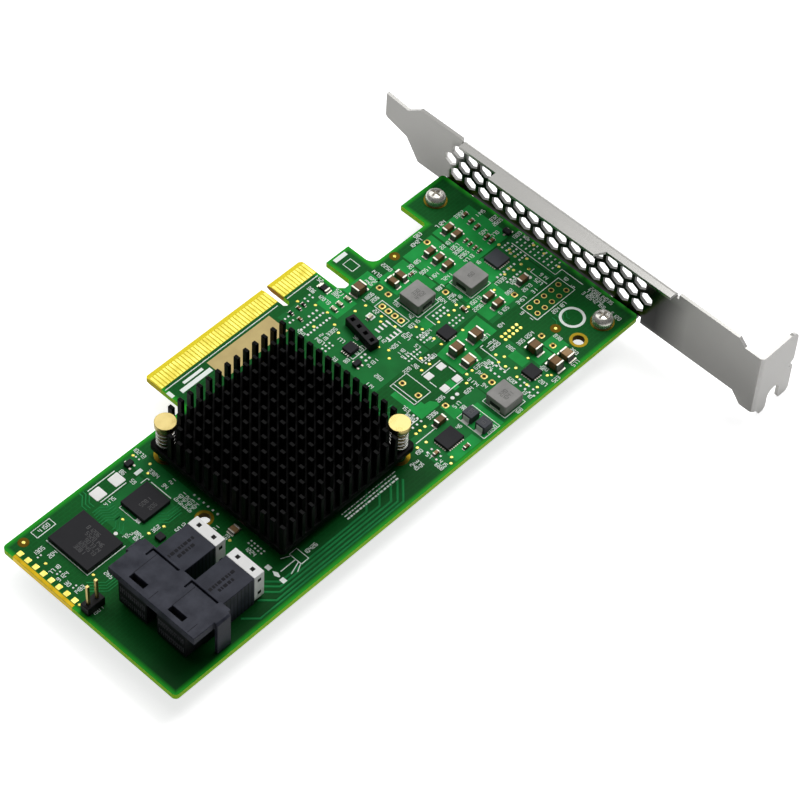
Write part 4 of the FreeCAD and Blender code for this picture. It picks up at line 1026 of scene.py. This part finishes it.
STRIP_PADS = [(15.65, -24.0 - 2.05 * step) for step in range(4)]
HEADER_PADS = [(40.5 + 2.58 * step, row) for step in range(5) for row in (-48.8, -51.35)]
TEST_DOTS = [(29.1 + 1.31 * step, row) for step in range(5) for row in (-50.2, -51.5)]
END_PADS = [(-93.55, -17.5 - 2.53 * step) for step in range(8)]
SIGHT_MARKS = ((-91.0, -15.7), (29.2, -15.1), (40.1, -57.5))
FOUR_PADS = ((12.2, -46.4), (8.0, -46.4), (12.2, -51.5), (8.0, -51.5))
WIDE_PADS = ((-64.4, -17.45), (-70.1, -17.45))
CHOKE_PADS = [(end, row) for end in (4.0, 7.9) for row in (-61.55, -65.7)]
ROUND_PADS = ((7.2, -54.7), (8.8, -54.7), (-74.8, -28.3), (47.6, -42.5))
# Larger bare pads: places, and length and width of a pad
LARGE_PADS = ((FOUR_PADS, 2.05, 1.85), (WIDE_PADS, 3.1, 3.1), (CHOKE_PADS, 0.7, 2.0))
# Bare pad fields: left, front, columns, rows, pitch across, pitch along, and the size of one pad
PAD_FIELDS = (
    (9.4, -28.4, 4, 2, 1.22, -3.65, 0.5, 1.5),
    (-3.2, -17.8, 4, 2, 2.1, 2.2, 0.55, 0.6),
    (-2.2, -17.8, 4, 2, 2.1, 2.2, 0.5, 0.5),
    (22.2, -35.8, 4, 2, 1.2, 1.3, 0.6, 0.6),
    (53.7, -44.4, 3, 9, 1.25, 1.45, 0.6, 0.4),
    (49.9, -37.0, 3, 5, 1.0, 1.4, 0.5, 0.5),
    (42.6, -39.7, 5, 1, 1.15, 1.0, 0.55, 0.55),
    (42.0, -37.0, 6, 1, 1.2, 1.0, 0.5, 0.6),
    (-5.8, -54.3, 3, 3, 1.4, 1.2, 0.5, 0.55),
    (10.4, -43.2, 3, 2, 1.1, 1.2, 0.5, 0.5),
    (19.6, -58.0, 2, 4, 2.0, 1.3, 0.5, 0.6),
    (21.2, -67.6, 2, 5, 1.3, 1.4, 0.5, 0.5),
    (-3.8, -24.2, 3, 2, 1.2, 1.1, 0.45, 0.5),
    (0.9, -32.8, 2, 2, 1.2, 1.4, 0.6, 0.6),
    (14.7, -38.6, 3, 3, 0.95, 1.1, 0.45, 0.5),
    (8.0, -40.0, 5, 2, 0.95, 1.1, 0.45, 0.5),
    (21.0, -39.9, 6, 2, 1.15, 1.2, 0.45, 0.5),
    (-3.6, -12.2, 2, 2, 1.1, 1.6, 0.45, 0.5),
    (1.0, -14.0, 3, 1, 1.3, 1.0, 0.5, 0.6),
    (4.2, -10.5, 2, 2, 1.6, 1.1, 0.45, 0.5),
    (-91.5, -21.0, 2, 1, 0.9, 1.0, 0.4, 0.4),
    (-91.5, -27.3, 2, 1, 0.9, 1.0, 0.4, 0.4),
    (-91.5, -32.5, 2, 1, 0.9, 1.0, 0.4, 0.4),
    (-54.9, -40.4, 1, 6, 1.0, 1.5, 0.55, 0.5),
    (-56.8, -16.8, 1, 2, 1.0, 1.0, 0.4, 0.4),
    (-55.6, -55.0, 2, 5, 0.9, 1.0, 0.4, 0.5),
    (-8.6, -64.4, 2, 3, 1.4, 1.4, 0.5, 0.5),
)
# Tops of the thin layers on the board, from the lowest up
PLANE_TOP = 0.010
TRACK_TOP = 0.014
POUR_TOP = 0.018
FILM = 0.03
PAD_TOP = 0.06
HOLE_SHADE_TOP = 0.075
# Diameters of the plated rings, and share of a ring that is open
TOOLING_RING = 4.5
FASTENER_RING = 5.9
RING_OPEN = 0.66
# Edges of the pads and share of a coin that its top keeps
PAD_EDGE = 0.06
SOFT_PAD_EDGE = 0.18
COIN_TOP = 0.96
# How far the gilt of the left end reaches on to the board, and how far it stays clear of the board's end
EDGE_PLATING = 0.9
EDGE_CLEAR = 0.05


def alike(places, length, width, height):
    """Items for a scatter, all of one size and not turned."""
    return [(x, y, 0.0, length, width, height, 0) for x, y in places]


def make_plating():
    """Gilt vias, plated rings round the holes, painted shade inside the holes of the pads, sighting marks
    and bare solder pads.
    """
    dot = disc_shape("dot")
    coin = disc_shape("coin", top=COIN_TOP, steps=20)
    pad = box_shape("pad_plate", [UNIT_BOX], PAD_EDGE)
    soft_pad = box_shape("soft_pad", [UNIT_BOX], SOFT_PAD_EDGE)
    holes = SQUARE_PADS + tuple(STRIP_PADS + HEADER_PADS)
    # Piece, shape, places, length, width and top of each spot, finish and slot
    for name, shape, places, length, width, top, finish, slot in (
        ("vias", dot, VIAS, 0.85, 0.85, PAD_TOP, GILT, "gilt_contact"),
        ("test_dots", dot, TEST_DOTS, 0.95, 0.95, PAD_TOP, GILT, "gilt_contact"),
        ("square_pads", soft_pad, SQUARE_PADS, 1.55, 1.55, FILM, PALE_GILT, "gilt_contact"),
        ("strip_pads", soft_pad, STRIP_PADS, 1.7, 1.6, FILM, PALE_GILT, "gilt_contact"),
        ("header_pads", coin, HEADER_PADS, 1.45, 1.45, FILM, PALE_GILT, "gilt_contact"),
        ("bronze_rings", coin, holes, 1.15, 1.15, PAD_TOP, AMBER, "gilt_contact"),
        # Painted shade: dark discs stand for the shade inside the holes of the pads
        ("dark_bores", coin, holes, 0.8, 0.8, HOLE_SHADE_TOP, HOLE_SHADE, "solder_mask"),
        ("sighting_windows", coin, SIGHT_MARKS, 2.7, 2.7, FILM, COPPER, "gilt_contact"),
        ("sighting_marks", dot, SIGHT_MARKS, 1.0, 1.0, PAD_TOP, GILT, "gilt_contact"),
        ("end_pads", pad, END_PADS, 1.4, 1.35, PAD_TOP, GILT, "gilt_contact"),
        ("round_pads", coin, ROUND_PADS, 1.0, 1.0, PAD_TOP, SOLDER_WHITE, "tinned_terminal"),
    ):
        scatter(name, shape, alike(places, length, width, top), finish, slot)
    rings = alike(TOOLING_HOLES, TOOLING_RING, TOOLING_RING, FILM)
    rings += alike(SCREWS + PUSH_PINS, FASTENER_RING, FASTENER_RING, FILM)
    scatter("ground_rings", ring_shape("ring", RING_OPEN), rings, AMBER, "gilt_contact")
    plating = area(BOARD_LEFT + EDGE_CLEAR, BOARD_LEFT + EDGE_PLATING, *GILT_EDGE)
    plates("edge_plating", [plating], FILM, EDGE_GILT, "gilt_contact")
    pads = []
    for places, length, width in LARGE_PADS:
        pads += alike(places, length, width, PAD_TOP)
    for left, front, columns, lines, across, along, length, width in PAD_FIELDS:
        places = [(left + across * column, front + along * line)
                  for column in range(columns) for line in range(lines)]
        pads += alike(places, length, width, PAD_TOP)
    scatter("bare_pads", pad, pads, SOLDER_WHITE, "tinned_terminal")


# Lacquered copper: wide planes, bright areas round the power parts, and tracks
PLANES = (
    [(-4.6, -41.0), (13.8, -41.0), (13.8, -14.4), (11.4, -13.4), (11.4, -9.0), (-4.6, -9.0)],
    area(14.2, 30.0, -41.0, -18.4),
    area(30.4, 51.4, -46.0, -30.4),
    # Beside the bracket: partly copper under lacquer and partly painted light that lifts the bracket's
    # shade
    area(51.8, 56.6, -46.8, -30.8),
    area(-9.5, 13.4, -67.9, -56.2),
    area(13.8, 29.6, -67.9, -51.9),
    area(-59.2, -54.6, -36.0, -14.6),
    area(-74.0, -60.0, -33.4, -20.2),
)
POURS = (
    area(26.2, 29.9, -28.3, -17.2),
    area(20.6, 25.8, -24.0, -17.4),
    area(30.5, 40.5, -29.8, -16.6),
    area(41.1, 54.3, -30.0, -16.3),
    area(31.0, 43.8, -37.2, -30.2),
    area(12.6, 21.2, -18.1, -13.8),
    area(5.2, 12.0, -19.2, -12.2),
    area(17.8, 20.3, -36.6, -33.4),
    [(14.0, -51.6), (20.8, -51.6), (21.4, -48.4), (29.6, -48.2), (29.6, -41.6), (14.0, -43.2)],
    [(-2.5, -54.0), (3.4, -54.0), (3.9, -53.2), (2.8, -51.6), (1.2, -51.4), (1.2, -50.3), (-0.8, -50.3),
     (-0.8, -44.0), (-2.5, -44.0)],
    [(2.9, -59.4), (5.9, -59.4), (5.9, -56.4), (3.2, -54.4)],
    area(3.4, 10.4, -68.0, -59.6),
    area(25.6, 28.3, -59.9, -55.2),
    area(30.5, 40.0, -44.7, -37.5),
    area(34.2, 38.6, -63.2, -58.4),
    area(29.0, 33.8, -62.4, -59.2),
    area(9.2, 10.9, -53.6, -50.4),
    area(-5.8, 2.7, -68.0, -65.0),
)
# Lanes along the front edge: left turn, right turn, and y of the run between them
LANES = ((-58.0, -30.6, -63.4), (-58.9, -27.3, -64.35), (-60.0, -24.6, -65.35), (-62.1, -23.5, -66.4),
         (-68.1, -22.6, -67.3))
LANE_SLANT = 3.0
LANE_END = 4.5
TRACK_WIDTH = 0.6
THIN_TRACK = 0.32


def lane_tracks():
    """Tracks that leave the front port at a slant, run along the front edge and turn in to the chip."""
    return [[(left - LANE_SLANT, level + LANE_SLANT), (left, level), (right, level),
             (right + LANE_END, level + LANE_END)] for left, right, level in LANES]


def bundle(x, y, count, step, *moves):
    """Parallel thin tracks: the first starts at a place and goes by moves, the next lie a step on."""
    lines = []
    for number in range(count):
        place = (x + step[0] * number, y + step[1] * number)
        line = [place]
        for right, up in moves:
            place = (place[0] + right, place[1] + up)
            line.append(place)
        lines.append(line)
    return lines


THIN_TRACKS = (
    bundle(-74.6, -20.5, 6, (-0.2, -0.75), (2.0, 0.0), (1.2, -1.2), (2.0, 0.0))
    + bundle(-73.0, -14.4, 3, (0.9, -0.2), (0.0, -1.0), (-2.0, -2.0), (0.0, -1.6))
    + bundle(-74.6, -27.0, 3, (0.2, -1.0), (1.0, 0.0), (1.5, 1.5), (1.2, 0.0))
    + bundle(-64.3, -30.8, 4, (-0.5, -0.7), (1.5, -1.5), (4.0, 0.0))
    + bundle(-88.5, -33.5, 4, (-0.4, -0.7), (3.0, -3.0), (3.0, 0.0))
    + bundle(-11.0, -44.5, 5, (-0.3, -1.2), (3.0, 0.0), (1.8, -1.8), (2.0, 0.0))
    + bundle(42.0, -54.6, 4, (1.2, 0.0), (0.0, -1.4), (-1.0, -1.0), (0.0, -0.8))
)


def make_copper():
    """Planes, bright areas and tracks, all under lacquer."""
    plates("copper_planes", PLANES, PLANE_TOP, PLANE_LACQUER, "solder_mask")
    plates("copper_areas", POURS, POUR_TOP, BRIGHT_LACQUER, "solder_mask")
    strokes("lane_tracks", lane_tracks(), TRACK_WIDTH, TRACK_TOP, TRACK_LACQUER, "solder_mask")
    strokes("thin_tracks", THIN_TRACKS, THIN_TRACK, TRACK_TOP, TRACK_LACQUER, "solder_mask")


def framed(left, right, front, back):
    """A closed line round a rectangle."""
    return area(left, right, front, back) + [(left, front)]


# White lines round and beside the parts
OUTLINES = (
    framed(14.3, 17.0, -31.6, -22.7),
    framed(38.9, 52.4, -52.7, -47.4),
    framed(-0.6, 4.9, -49.9, -42.1),
    [(0.4, -42.1), (0.4, -49.9)],
    [(52.6, -32.0), (52.6, -46.2), (55.0, -46.2), (55.0, -53.0)],
    [(-8.6, -58.0), (-2.3, -58.0)],
    [(-6.0, -53.4), (-3.0, -53.4)],
    [(-87.0, -18.8), (-87.0, -32.25), (-75.6, -32.25)],
    [(-59.3, -23.4), (-59.3, -29.9)],
    [(-68.6, -23.6), (-69.3, -23.6), (-69.3, -29.9), (-68.4, -29.9)],
    [(-61.2, -22.0), (-59.2, -22.0), (-59.2, -22.7)],
    [(-71.3, -15.3), (-63.0, -15.3)],
    [(-71.3, -19.6), (-63.4, -19.6)],
    framed(-88.0, -82.5, -17.0, -14.8),
    framed(-51.3, -49.0, -63.3, -59.5),
    [(-51.5, -60.0), (-53.6, -59.0)],
    [(-51.5, -61.5), (-56.0, -61.5)],
    [(-51.5, -62.5), (-54.8, -63.6)],
    [(-51.5, -63.2), (-53.4, -64.2)],
    [(9.8, -39.2), (9.8, -42.5), (14.0, -42.5)],
    [(23.0, -48.8), (23.0, -54.4), (22.0, -56.0), (22.0, -58.0), (23.4, -58.0)],
    [(24.0, -48.9), (23.0, -48.9)],
    framed(19.2, 26.4, -32.4, -24.9),
    framed(32.6, 39.5, -37.1, -30.0),
    framed(11.5, 18.5, -67.3, -60.2),
    framed(3.6, 9.0, -68.0, -59.4),
    [(26.3, -33.4), (20.5, -33.4), (20.5, -36.8)],
    [(7.0, -45.0), (13.4, -45.0)],
    [(6.9, -47.7), (6.9, -49.9)],
    [(13.4, -47.7), (13.4, -49.9)],
    [(7.0, -52.7), (13.0, -52.7)],
    [(13.0, -28.0), (13.0, -32.6), (8.8, -32.6)],
    [(-38.7, -6.45), (-1.9, -6.45)],
    [(1.2, -6.45), (11.6, -6.45)],
    framed(18.4, 21.0, -11.4, -8.2),
    [(49.0, -46.8), (49.0, -41.4), (50.4, -41.4)],
    framed(-1.0, 3.6, -30.4, -29.0),
)


def turned(degrees, *numbers):
    """Numbers that are all turned alike. A number is its text and the place of its middle."""
    return [(*number, degrees) for number in numbers]


# Made up numbers on the board, made of short strokes
NUMBERS = turned(
    0, ("318", 19.6, -16.0), ("642", 19.6, -17.2), ("11806", 15.3, -19.6), ("206", 16.1, -21.2),
    ("905", 28.5, -21.8), ("10315", 17.0, -33.0), ("7013", 1.7, -29.7), ("88", -2.2, -29.7),
    ("2131", 1.6, -34.4), ("3305", 1.6, -21.1), ("4051", 9.2, -34.5), ("118", 8.8, -36.8),
    ("13304", 16.8, -37.0), ("914", 8.8, -38.2), ("2281", 6.2, -41.6), ("480", 13.0, -43.0),
    ("1207", 26.0, -47.6), ("635", 18.6, -52.4), ("72", 17.2, -54.0), ("1604", 11.4, -55.8),
    ("205", 5.2, -52.9), ("3306", 0.3, -54.9), ("517", 6.6, -56.8), ("38", 7.0, -58.4), ("46", 2.2, -61.5),
    ("2050", 7.0, -67.4), ("168", 15.4, -68.1), ("523", 28.7, -67.9), ("10427", 36.0, -15.8),
    ("583", 38.2, -14.4), ("7124", 44.8, -15.8), ("3302", 50.4, -16.8), ("20185", 30.9, -20.1),
    ("9051", 31.2, -23.4), ("1164", 31.4, -26.1), ("7241", 33.4, -28.5), ("2210", 40.6, -21.2),
    ("1357", 41.7, -23.2), ("3082", 41.6, -24.7), ("2965", 41.7, -26.4), ("4713", 41.7, -28.1),
    ("1145", 54.3, -20.1), ("832", 55.5, -23.5), ("2609", 55.3, -25.0), ("504", 50.4, -24.8),
    ("770", 52.0, -27.2), ("16", 42.2, -30.6), ("3418", 30.2, -34.9), ("296", 29.9, -33.4),
    ("887", 29.9, -29.6), ("15073", 32.8, -38.3), ("2296", 31.8, -40.2), ("6105", 35.6, -45.0),
    ("104", 31.5, -47.7), ("882", 40.8, -42.1), ("3457", 40.9, -45.9), ("2673", 44.8, -44.2),
    ("31", 45.3, -46.1), ("17335", 41.6, -38.3), ("1206", 44.0, -40.7), ("1", 38.1, -51.5),
    ("10", 53.3, -49.0), ("6", 52.9, -51.7), ("204187", 45.6, -53.8), ("3051264", 32.8, -54.5),
    ("577", 35.6, -67.9), ("1309", 55.4, -31.2), ("1305", -90.0, -19.8), ("204", -88.5, -22.6),
    ("7718", -90.9, -26.0), ("9124", -90.9, -28.6), ("1483", -90.8, -33.8), ("1507", -91.8, -40.7),
    ("4175", -69.5, -20.8), ("21", -55.6, -26.6), ("6401", -57.4, -31.0), ("6402", -57.4, -32.4),
    ("6403", -57.4, -33.8), ("6404", -57.4, -35.2), ("73", -73.6, -30.5), ("5012", -63.2, -37.3),
    ("362", -67.4, -33.6), ("71", -57.8, -42.9), ("53", -57.8, -46.3), ("10426", -46.7, -61.7),
    ("190", -9.9, -60.1), ("4150", -84.9, -15.9),
) + turned(
    -90, ("306", 7.3, -8.7), ("52", 11.0, -8.0), ("12073", 7.3, -12.9), ("385", 10.4, -13.9),
    ("521", 11.5, -13.9), ("1473", 22.1, -15.9), ("2250", 25.3, -16.4), ("730", 18.6, -25.8),
    ("42", 18.3, -31.0), ("1407", -2.6, -21.0), ("219", -1.0, -21.0), ("177", 1.2, -24.4),
    ("56", 4.3, -26.6), ("812", 8.2, -31.2), ("627", 12.8, -34.6), ("63", 13.8, -34.6), ("57", 12.6, -38.5),
    ("260", -0.6, -38.6), ("114", -3.8, -38.6), ("33", -4.0, -27.5), ("450", -3.9, -16.3),
    ("22", 13.4, -24.2), ("97", 16.6, -39.2), ("96", 8.0, -42.4), ("3174", 14.1, -55.0),
    ("2814", 20.0, -54.0), ("904", 21.2, -54.0), ("113", 24.6, -50.6), ("872", 25.7, -50.6),
    ("430", 26.8, -50.6), ("753", -2.9, -49.5), ("1828", -4.0, -51.6), ("94", 15.2, -57.6),
    ("600", 20.9, -61.0), ("1310", 20.4, -66.2), ("287", 25.6, -66.6), ("190", 29.2, -63.8),
    ("664", 27.3, -32.8), ("527", 48.0, -45.0), ("914", 50.2, -44.8), ("9", 37.9, -48.9),
    ("285", 28.0, -54.2), ("76", 28.4, -63.4), ("838", 38.4, -59.9), ("48", 56.4, -33.4),
    ("74", 30.8, -64.6), ("250", 37.9, -65.4), ("30", -91.6, -31.0), ("265", -83.6, -35.6),
    ("86", -62.0, -17.0), ("59", -62.1, -20.6), ("10273", -55.5, -15.6), ("3384", -57.2, -22.2),
    ("94", -57.9, -26.6), ("2106", -72.6, -32.2), ("884", -71.4, -32.2), ("1224", -56.9, -53.0),
    ("240", -13.6, -62.4), ("375", -12.2, -62.6), ("668", -9.6, -66.4), ("415", -8.3, -66.4),
    ("57", -9.0, -62.6), ("310542768", 53.1, -58.2), ("7160593", 54.3, -57.6), ("228814035", 55.5, -58.6),
    ("5120", 53.1, -65.2),
)
# Grey numbers on the tops of parts, with the level of each kind's top
CHIP_NUMBERS = turned(
    0, ("5081", -64.6, -27.2), ("206", -64.2, -29.2),
) + turned(
    -90, ("3081", -84.0, -26.6), ("1204573", -82.6, -27.4), ("907314", -81.2, -27.8),
    ("5520146", -79.8, -27.0), ("81206", -78.4, -25.2),
)
CHIP_TOP = 1.2
COIL_NUMBERS = turned(
    0, ("330", 22.8, -28.2), ("4702", 22.8, -29.6), ("150", 36.0, -33.6), ("220", 15.0, -63.4),
    ("1041", 15.0, -64.8),
)
COIL_TOP = 3.0
CHOKE_NUMBERS = turned(
    0, ("100", 5.95, -61.55), ("101", 5.95, -65.7),
)
CHOKE_TOP = 2.2
GLYPH = (0.5, 0.98)
GLYPH_STEP = 0.8
# Which strokes make each numeral: top, upper left, upper right, middle, lower left, lower right, foot
NUMERALS = {"0": "1110111", "1": "0010010", "2": "1011101", "3": "1011011", "4": "0111010", "5": "1101011",
            "6": "1101111", "7": "1010010", "8": "1111111", "9": "1111011"}
# The corners that each stroke joins, counted from the left and from the top
STROKE_ENDS = ((0, 1), (0, 2), (1, 3), (2, 3), (2, 4), (3, 5), (4, 5))
INK_WIDTH = 0.18
LINE_WIDTH = 0.24
MARK_WIDTH = 0.12
MARK_HEIGHT = 0.012


def numeral_lines(numbers):
    """The strokes of plain numbers, each about its middle."""
    width, height = GLYPH
    corners = [(x, y) for y in (height / 2, 0.0, -height / 2) for x in (0.0, width)]
    lines = []
    for text, x, y, turn in numbers:
        cosine = math.cos(math.radians(turn))
        sine = math.sin(math.radians(turn))
        for place, numeral in enumerate(text):
            start = (place - len(text) / 2) * GLYPH_STEP
            for shown, ends in zip(NUMERALS[numeral], STROKE_ENDS):
                if shown == "1":
                    flat = [(start + corners[end][0], corners[end][1]) for end in ends]
                    lines.append([(x + cosine * a - sine * b, y + sine * a + cosine * b) for a, b in flat])
    return lines


# Filled white fields, and the field of bare laminate beside the tongue
INK_FIELDS = (
    area(17.6, 21.6, -6.8, -5.6),
    area(-69.2, -68.3, -29.8, -28.6),
    area(-60.4, -58.3, -19.8, -18.8),
    area(-36.3, -26.6, -9.9, -8.7),
    area(-34.2, -28.0, -8.2, -7.4),
    area(-39.2, -38.2, -9.2, -7.2),
    area(10.6, 12.2, -25.2, -23.2),
    area(-57.8, -56.6, -59.5, -58.1),
    area(-57.9, -56.7, -64.3, -62.9),
    [(-57.2, -60.1), (-57.8, -61.3), (-57.4, -62.4), (-57.0, -62.4), (-56.6, -61.3)],
)
LAMINATE_FIELDS = (area(-26.1, -5.6, -13.6, -7.2),)
# Rows of generic dashes: left end, right end, y, height of a dash, and level of the surface
BOARD_DASHES = [(-35.2, -18.8, y, height, 0.0)
                for y, height in ((-60.1, 0.25), (-61.0, 0.35), (-61.9, 0.45))]
PORT_DASHES = [(left, right, port + shift, 0.8, 9.5) for port in (-46.9, -59.6)
               for left, right, shift in ((-75.4, -67.9, 0.75), (-74.0, -69.4, -0.75))]
DASH_SHORTEST = 0.4
DASH_GROWTH = 0.2
DASH_GAP = 0.28
DASH_EDGE = 0.08
RING_MARK = (45.5, -58.0)
RING_MARK_SIZE = 6.5
RING_MARK_OPEN = 0.78
RING_MARK_STEPS = 40


def dashes(rows):
    """Dashes in rows along X, their lengths in a fixed uneven order."""
    items = []
    for row, (left, right, y, height, level) in enumerate(rows):
        x = left
        step = 0
        while x < right:
            length = DASH_SHORTEST + DASH_GROWTH * ((step * 7 + row * 3) % 4)
            items.append((x + length / 2, y, level, length, height, FILM, 0))
            x += length + DASH_GAP
            step += 1
    return items


def make_print():
    """White lines, numbers and fields on the board, and grey numbers on the larger parts."""
    strokes("white_lines", OUTLINES, LINE_WIDTH, FILM, INK, "solder_mask")
    strokes("white_numbers", numeral_lines(NUMBERS), INK_WIDTH, FILM, INK, "solder_mask")
    plates("white_fields", INK_FIELDS, FILM, INK, "solder_mask")
    plates("bare_fields", LAMINATE_FIELDS, TRACK_TOP, LAMINATE, "solder_mask")
    dash = box_shape("dash", [UNIT_BOX], DASH_EDGE)
    scatter("white_dashes", dash, dashes(BOARD_DASHES), INK, "solder_mask")
    scatter("dark_dashes", dash, dashes(PORT_DASHES), DARK_INK, "port_plastic")
    ring = ring_shape("ring_mark", RING_MARK_OPEN, RING_MARK_STEPS)
    scatter("ring_mark", ring, alike([RING_MARK], RING_MARK_SIZE, RING_MARK_SIZE, FILM), INK, "solder_mask")
    for name, numbers, top, finish, slot in (
        ("chip_marks", CHIP_NUMBERS, CHIP_TOP, GREY_INK, "chip_epoxy"),
        ("coil_marks", COIL_NUMBERS, COIL_TOP, COIL_INK, "coil_ferrite"),
        ("choke_marks", CHOKE_NUMBERS, CHOKE_TOP, GREY_INK, "header_plastic"),
    ):
        strokes(name, numeral_lines(numbers), MARK_WIDTH, MARK_HEIGHT, finish, slot, level=top)


# Combs of contacts across the mating slots of the two ports
PORT_MIDDLES = (-47.0, -59.1)
NOSE_FACE = -87.1
COMB_LEVELS = (1.9, 5.2)
COMB_TOOTH = (0.5, 0.27, 2.0)
COMB_SUNK = 0.2
COMB_EDGE = 0.05
COMB_PITCH = 0.62
COMB_COUNT = 13
# Cut lines of the flaps above the slots: left end, right end and distance from the port's middle
FLAP_CUTS = ((-84.3, -77.5, 2.3), (-86.9, -84.0, -5.0))
FLAP_LINE = (0.12, 0.01)
HOOD_TOP = 11.0
# Windows in the tops and front sides of the clips, shown as dark boxes of painted shade
CLIP_WINDOW = 1.0
CLIP_PITCH = 4.6
WINDOW_DEPTH = 0.4
WINDOW_FILM = 0.05
WINDOW_PROUD = 0.01
WINDOW_EDGE = 0.05


def make_port_details():
    """Fine combs on the noses of the ports, thin lines on the hood, and painted shade in small windows of
    the clips.
    """
    teeth = []
    cuts = []
    for port in PORT_MIDDLES:
        for level in COMB_LEVELS:
            for number in range(COMB_COUNT):
                y = port + COMB_PITCH * (number - (COMB_COUNT - 1) / 2)
                teeth.append((NOSE_FACE + COMB_SUNK, y, level, *COMB_TOOTH, 0))
        cuts += [[(left, port + shift), (right, port + shift)] for left, right, shift in FLAP_CUTS]
    tooth = box_shape("comb_tooth", [UNIT_BOX], COMB_EDGE)
    scatter("port_combs", tooth, teeth, COMB, "port_plastic")
    strokes("flap_lines", cuts, *FLAP_LINE, DARK_INK, "port_plastic", level=HOOD_TOP)
    window_shades = []
    for side in ("back", "front"):
        low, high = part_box("port_clip_" + side)
        middle = (low + high) / 2 / MM
        for shift in (-CLIP_PITCH / 2, CLIP_PITCH / 2):
            upper = high.z / MM + WINDOW_PROUD
            window_shades.append((middle.x, middle.y + shift, upper, CLIP_WINDOW, CLIP_WINDOW, WINDOW_DEPTH, 0))
            upper = middle.z + shift + CLIP_WINDOW / 2
            window_shades.append((middle.x, low.y / MM, upper, CLIP_WINDOW, WINDOW_FILM, CLIP_WINDOW, 0))
    window = box_shape("clip_window", [((-0.5, -0.5, -1.0), (0.5, 0.5, 0.0))], WINDOW_EDGE)
    scatter("clip_windows", window, window_shades, HOLE_SHADE, "header_plastic")


dress_nodes()
soften_nodes()
make_heatsink()
make_springs()
make_screws()
make_chip_parts()
make_plating()
make_copper()
make_print()
make_port_details()


# How much the floor is lifted towards white, as the camera sees it and as metal mirrors it
FLOOR_LIFT = {"Is Camera Ray": 0.75, "Is Glossy Ray": 0.35, "Is Transmission Ray": 0.35}
FLOOR_TONE = 0.82
FLOOR_HALF = 4.0
WORLD_STRENGTH = 0.08
# Lamps: place and aim in metres, size in metres and power in watts
LAMPS = (
    ("window", (0.59, 0.51, 0.98), (-0.02, -0.04, 0.0), 2.4, 17.8),
    ("overhead", (0.50, 0.05, 0.95), (-0.02, -0.04, 0.0), 0.6, 4.4),
)


def floor_finish():
    """Matt white, lifted towards pure white for the eye and for mirrors, so that a shadow still shows."""
    material = bpy.data.materials.new("white_floor")
    material.use_nodes = True
    tree = material.node_tree
    tree.nodes.clear()
    path = add_node(tree, "ShaderNodeLightPath")
    lift = 0.0
    for ray, strength in FLOOR_LIFT.items():
        share = add_node(tree, "ShaderNodeMath", {0: path.outputs[ray], 1: strength}, operation="MULTIPLY")
        most = add_node(tree, "ShaderNodeMath", {0: lift, 1: share.outputs[0]}, operation="MAXIMUM")
        lift = most.outputs[0]
    glow = add_node(tree, "ShaderNodeEmission", {"Color": (1, 1, 1, 1), "Strength": lift})
    matt = add_node(tree, "ShaderNodeBsdfDiffuse", {"Color": (FLOOR_TONE, FLOOR_TONE, FLOOR_TONE, 1)})
    both = add_node(tree, "ShaderNodeAddShader", {0: glow.outputs[0], 1: matt.outputs[0]})
    add_node(tree, "ShaderNodeOutputMaterial", {"Surface": both.outputs[0]}, is_active_output=True)
    return material


def make_stage():
    """A wide floor under the lowest point of the card."""
    mesh = bpy.data.meshes.new("floor")
    corners = area(-FLOOR_HALF, FLOOR_HALF, -FLOOR_HALF, FLOOR_HALF)
    mesh.from_pydata([(x, y, CAD_BOX[0].z) for x, y in corners], [], [(0, 1, 2, 3)])
    mesh.materials.append(floor_finish())
    floor = scene_object("floor", mesh)


def make_lights():
    """A pale all round light, a lamp overhead, and a wide soft panel that level metal mirrors."""
    world = bpy.data.worlds.new("studio")
    bpy.context.scene.world = world
    world.use_nodes = True
    background = world.node_tree.nodes["Background"]
    background.inputs["Color"].default_value = (1, 1, 1, 1)
    background.inputs["Strength"].default_value = WORLD_STRENGTH
    for name, place, aim, size, watts in LAMPS:
        data = bpy.data.lights.new(name, "AREA")
        data.shape = "DISK"
        data.size = size
        data.energy = watts
        lamp = scene_object(name, data)
        lamp.location = place
        lamp.rotation_euler = (Vector(aim) - Vector(place)).to_track_quat("-Z", "Y").to_euler()


# The camera stands where the photograph was taken from
CAMERA_PLACE = (-0.338095, -0.335346, 0.554809)
CAMERA_RIGHT = Vector((0.688992, -0.723619, 0.040801))
CAMERA_DOWN = Vector((-0.548791, -0.557645, -0.622784))
CAMERA_LENS = 137.79
SENSOR_WIDTH = 36.0
CLIP_NEAR = 0.01
CLIP_FAR = 20.0


def make_camera():
    """A long lens without shift or depth of field."""
    data = bpy.data.cameras.new("camera")
    data.lens = CAMERA_LENS
    data.sensor_width = SENSOR_WIDTH
    data.clip_start = CLIP_NEAR
    data.clip_end = CLIP_FAR
    up = -CAMERA_DOWN
    back = CAMERA_RIGHT.cross(up)
    turn = Matrix((CAMERA_RIGHT, up, back)).transposed().to_4x4()
    camera = scene_object("camera", data)
    camera.matrix_world = Matrix.Translation(CAMERA_PLACE) @ turn
    bpy.context.scene.camera = camera


make_stage()
make_lights()
make_camera()
bpy.context.scene.view_settings.view_transform = "Standard"
